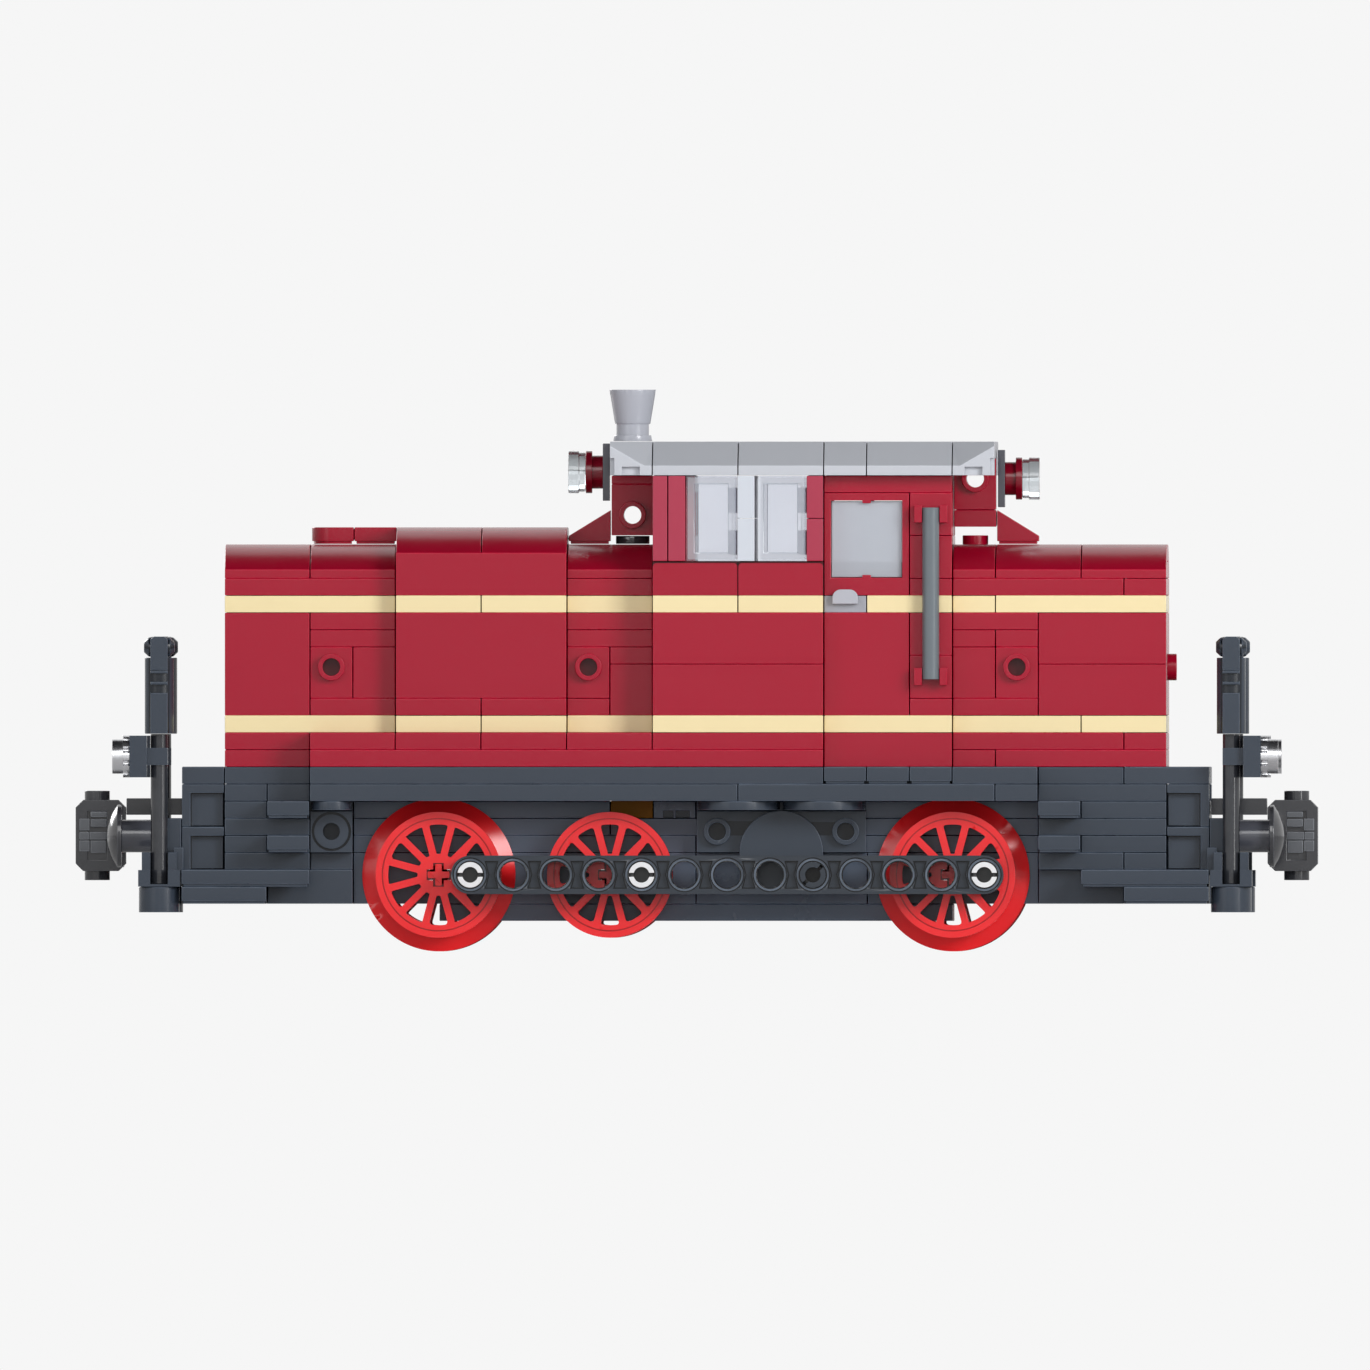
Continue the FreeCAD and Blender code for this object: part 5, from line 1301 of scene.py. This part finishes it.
@dataclass
class Ends(Section):
    """Buffers, couplers, posts and headlamps."""

    edge: float = EDGE
    lens_edge: float = 0.15 * MM
    black: tuple[str, ...] = ("buffer_dishes", "couplers", "lamp_column_feet")
    dark: tuple[str, ...] = ("post_footings", "headlamp_blocks")
    top_shade: float = 0.75
    top_back: float = 0.5 * MM
    petals: int = 10
    back: tuple[tuple[float, float], ...] = ((95.6, 97.4), (25.0, 27.0), (14.2, 19.4))
    lamp_out: float = 2.3 * MM
    lamp_back: float = 0.8 * MM
    petal_cut: float = 0.55 * MM
    petal_depth: float = 12.0 * MM
    coupler_side: float = 4.0
    coupler_end: float = 115.3
    ridge_back: float = 0.9
    rows: tuple[tuple[float, float, float, float, float], ...] = (
        (2.1, 5.1, 25.1, 26.1, 0.05), (0.0, 1.9, 22.6, 24.8, 0.25), (2.1, 5.1, 23.3, 24.7, 0.1),
        (0.0, 1.8, 20.9, 22.3, 0.35), (1.9, 5.1, 20.9, 22.3, 0.2), (0.0, 1.9, 18.7, 20.7, 0.1),
        (2.1, 5.0, 18.4, 20.7, 0.05))

    def build(self) -> None:
        """Dress the ends' nodes."""
        for node in self.black:
            self.shop.dress(node, Finish.BLACK, width=self.edge)
        for node in self.dark:
            self.shop.dress(node, Finish.DARK_GREY, width=self.edge, closed=node == "post_footings")
        self.shop.dress("buffer_shanks", Finish.SHANK_GREY, width=self.edge, slot="black")
        self.shop.dress("post_bars", Finish.POST_GREY, width=self.edge, slot="dark_grey")
        tops = self.shop.solids("post_tops")
        for top in tops:
            # Painted shade on the recessed sides of each post top.
            self.shop.sink(top, self.top_shade, self.top_back)
        self.shop.finish_off("post_tops", tops, Finish.DARK_GREY, width=self.edge)
        self.shop.dress("top_lamp_bodies", Finish.PAINTED_SHADE_LAMP_RED, width=self.edge, slot="dark_red")
        self.shop.dress("top_lamp_brackets", Finish.SHANK_GREY, width=self.edge, slot="dark_grey")
        self.shop.dress("top_lamp_lenses", Finish.LENS, width=self.lens_edge, slot="clear")
        self.headlamps()
        self.coupler_ridges()
        self.footing_backs()

    def footing_backs(self) -> None:
        """Fill the gap between each post's footing and the frame's end with a small plate."""
        (x0, x1), (y0, y1), upward = self.back
        plates = [block((end * x0, end * x1), (side * y0, side * y1), upward)
                  for end in (-1, 1) for side in (-1, 1)]
        piece = self.shop.extra("footing_backs", plates, Finish.DARK_GREY, self.edge)
        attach(piece, "chassis")

    def headlamps(self) -> None:
        """Cut the ring of each headlamp into petals."""
        lamps = []
        turn = Matrix.Rotation(math.pi / 2, 4, "Y")
        for lamp in self.shop.solids("headlamp_lenses"):
            low, high = span(lamp)
            end = max(abs(low.x), abs(high.x))
            for vert in lamp.verts:
                if abs(vert.co.x) > end - self.lamp_out:
                    vert.co.x -= math.copysign(self.lamp_back, vert.co.x)
            centre, radius = (low + high) / 2, (high.z - low.z) / 2
            tool = bmesh.new()
            for index in range(self.petals):
                angle = 2 * math.pi * (index + 0.5) / self.petals
                place = Matrix.Translation((centre.x, centre.y + radius * math.cos(angle),
                                            centre.z + radius * math.sin(angle)))
                bmesh.ops.create_cone(tool, cap_ends=True, segments=12, radius1=self.petal_cut,
                                      radius2=self.petal_cut, depth=self.petal_depth,
                                      matrix=place @ turn)
            lamps.append(self.shop.carve(lamp, tool))
        self.shop.finish_off("headlamp_lenses", lamps, Finish.SILVER, width=self.lens_edge)

    def coupler_ridges(self) -> None:
        """Stack small blocks in the recess at both sides of each coupler."""
        ridges = [block((end * (self.coupler_end - start), end * (self.coupler_end - stop)),
                        (side * (self.coupler_side - self.ridge_back), side * (self.coupler_side + out)),
                        (low, high))
                  for end in (-1, 1) for side in (-1, 1) for start, stop, low, high, out in self.rows]
        piece = self.shop.extra("coupler_ridges", ridges, Finish.RIDGE_GREY)
        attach(piece, "chassis")


@dataclass(frozen=True)
class Cloth(Stuff):
    """Matt paper or cloth with a fine grain."""

    grain: float
    strength: float
    depth: float

    def shader(self, tree: Tree, place: Value) -> Value:
        """Build the shader.

        Args:
            tree: Node tree that it is added to.
            place: Place on the piece.

        Returns:
            The shader.
        """
        grain = tree.add("ShaderNodeTexNoise", None, {"Vector": place, "Scale": self.grain})
        bump = tree.add("ShaderNodeBump", None, {"Height": grain, "Strength": self.strength,
                                                 "Distance": self.depth})
        matt = tree.add("ShaderNodeBsdfDiffuse", None, {"Color": linear(*self.colour), "Normal": bump})
        return matt


@dataclass
class Studio:
    """Camera, lights, floor and backdrop."""

    image: int = 1370
    scale: float = 5.355
    centre_px: tuple[float, float] = (697.0, 951.4)
    yaw: float = 0.67
    far: float = 2.0
    backdrop: tuple[int, int, int] = (246, 246, 246)
    paper: Cloth = Cloth("floor_paper", (240, 240, 240), 900.0, 0.05, 0.2 * MM)
    cloth: Cloth = Cloth("ceiling_cloth", (40, 40, 42), 400.0, 0.1, 1.0 * MM)
    lamps: tuple[tuple[str, tuple[float, float, float], float, float], ...] = (
        ("key", (0.76, -0.95, 0.42), 0.42, 9.3),
        ("front", (-0.1, -1.05, 0.62), 0.55, 3.5),
        ("level", (0.0, -1.3, 0.05), 0.3, 1.7),
        ("strip", (0.95, -0.85, 0.05), 0.14, 0.35),
        ("fill", (-0.75, -1.0, 0.35), 0.5, 1.7),
        ("top", (0.1, 0.62, 0.72), 0.5, 1.5),
        ("back", (-0.7, 0.95, 0.45), 0.5, 6.5),
    )
    soft: tuple[str, ...] = ("top", "level")
    ambient: float = 0.3
    ceiling_height: float = 0.75
    target: tuple[float, float, float] = (0.0, 0.0, 0.045)

    def build(self) -> None:
        """Make the studio."""
        self.camera()
        self.floor()
        self.ceiling()
        self.world()
        for name, place, size, power in self.lamps:
            self.lamp(name, place, size, power)
        bpy.context.scene.view_settings.view_transform = "Standard"

    def camera(self) -> None:
        """Put a parallel camera where the photograph's was."""
        data = bpy.data.cameras.new("camera")
        data.type = "ORTHO"
        data.ortho_scale = self.image / self.scale * MM
        data.clip_end = 20.0
        camera = bpy.data.objects.new("camera", data)
        bpy.context.scene.collection.objects.link(camera)
        yaw = math.radians(self.yaw)
        view = Vector((-math.sin(yaw), math.cos(yaw), 0.0))
        centre = self.image / 2
        x = (centre - self.centre_px[0]) / self.scale * MM
        z = (self.centre_px[1] - centre) / self.scale * MM
        camera.location = Vector((x, 0.0, z)) - view * self.far
        camera.rotation_euler = (math.pi / 2, 0.0, yaw)
        bpy.context.scene.camera = camera

    def floor(self) -> None:
        """Lay the pale floor."""
        floor = self.sheet("floor", self.paper, 4.0, (0.0, 0.0, -0.2 * MM))

    def ceiling(self) -> None:
        """Hang the dark cloth that keeps the slopes of the toy from shining, unseen by the camera."""
        ceiling = self.sheet("ceiling", self.cloth, 1.0, (0.0, -0.3, self.ceiling_height))
        ceiling.visible_camera = False

    @staticmethod
    def sheet(name: str, cloth: Cloth, half: float, place: tuple[float, float, float]) -> bpy.types.Object:
        """Spread a level square sheet.

        Args:
            name: Name of the new object.
            cloth: What it is made of.
            half: Half of its side in metres.
            place: Its middle in metres.

        Returns:
            The new object.
        """
        surface = bmesh.new()
        bmesh.ops.create_grid(surface, x_segments=1, y_segments=1, size=half,
                              matrix=Matrix.Translation(place))
        mesh = bpy.data.meshes.new(name)
        surface.to_mesh(mesh)
        surface.free()
        mesh.materials.append(cloth.material())
        sheet = bpy.data.objects.new(name, mesh)
        bpy.context.scene.collection.objects.link(sheet)
        return sheet

    def world(self) -> None:
        """Light the room evenly and show the pale backdrop to the camera and in gloss."""
        world = bpy.data.worlds.new("room")
        bpy.context.scene.world = world
        tree = Tree(world)
        path = tree.add("ShaderNodeLightPath", output="Is Camera Ray")
        glossy = Value(tree, path.socket.node.outputs["Is Glossy Ray"])
        through = Value(tree, path.socket.node.outputs["Is Transmission Ray"])
        seen = path + through + glossy
        room = tree.add("ShaderNodeBackground", None, {"Color": (1.0, 1.0, 1.0, 1.0),
                                                       "Strength": self.ambient})
        shown = tree.add("ShaderNodeBackground", None, {"Color": linear(*self.backdrop), "Strength": 1.0})
        mixed = tree.add("ShaderNodeMixShader", None, {0: seen, 1: room, 2: shown})
        tree.add("ShaderNodeOutputWorld", None, {"Surface": mixed})

    def lamp(self, name: str, place: tuple[float, float, float], size: float, power: float) -> None:
        """Hang one soft lamp that faces the toy.

        Args:
            name: Name of the lamp.
            place: Where it hangs, in metres.
            size: Side of its square in metres.
            power: Power in watts.
        """
        data = bpy.data.lights.new(name, "AREA")
        data.shape = "SQUARE"
        data.size = size
        data.energy = power
        lamp = bpy.data.objects.new(name, data)
        bpy.context.scene.collection.objects.link(lamp)
        lamp.location = place
        lamp.visible_camera = False
        lamp.visible_glossy = name not in self.soft
        lamp.rotation_euler = (Vector(self.target) - Vector(place)).to_track_quat("-Z", "Y").to_euler()


def main() -> None:
    """Build the pieces in order, logging the count of pieces after each section, then set up the studio."""
    logging.basicConfig(level=logging.INFO, format="%(message)s")
    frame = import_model()
    shop = Workshop(frame, Paints())
    for section in (Body, Cab, Underframe, RunningGear, Ends):
        section(shop).build()
        LOG.info("%s done, %d pieces so far", section.__name__, shop.count)
    Studio().build()


if __name__ == "__main__":
    main()
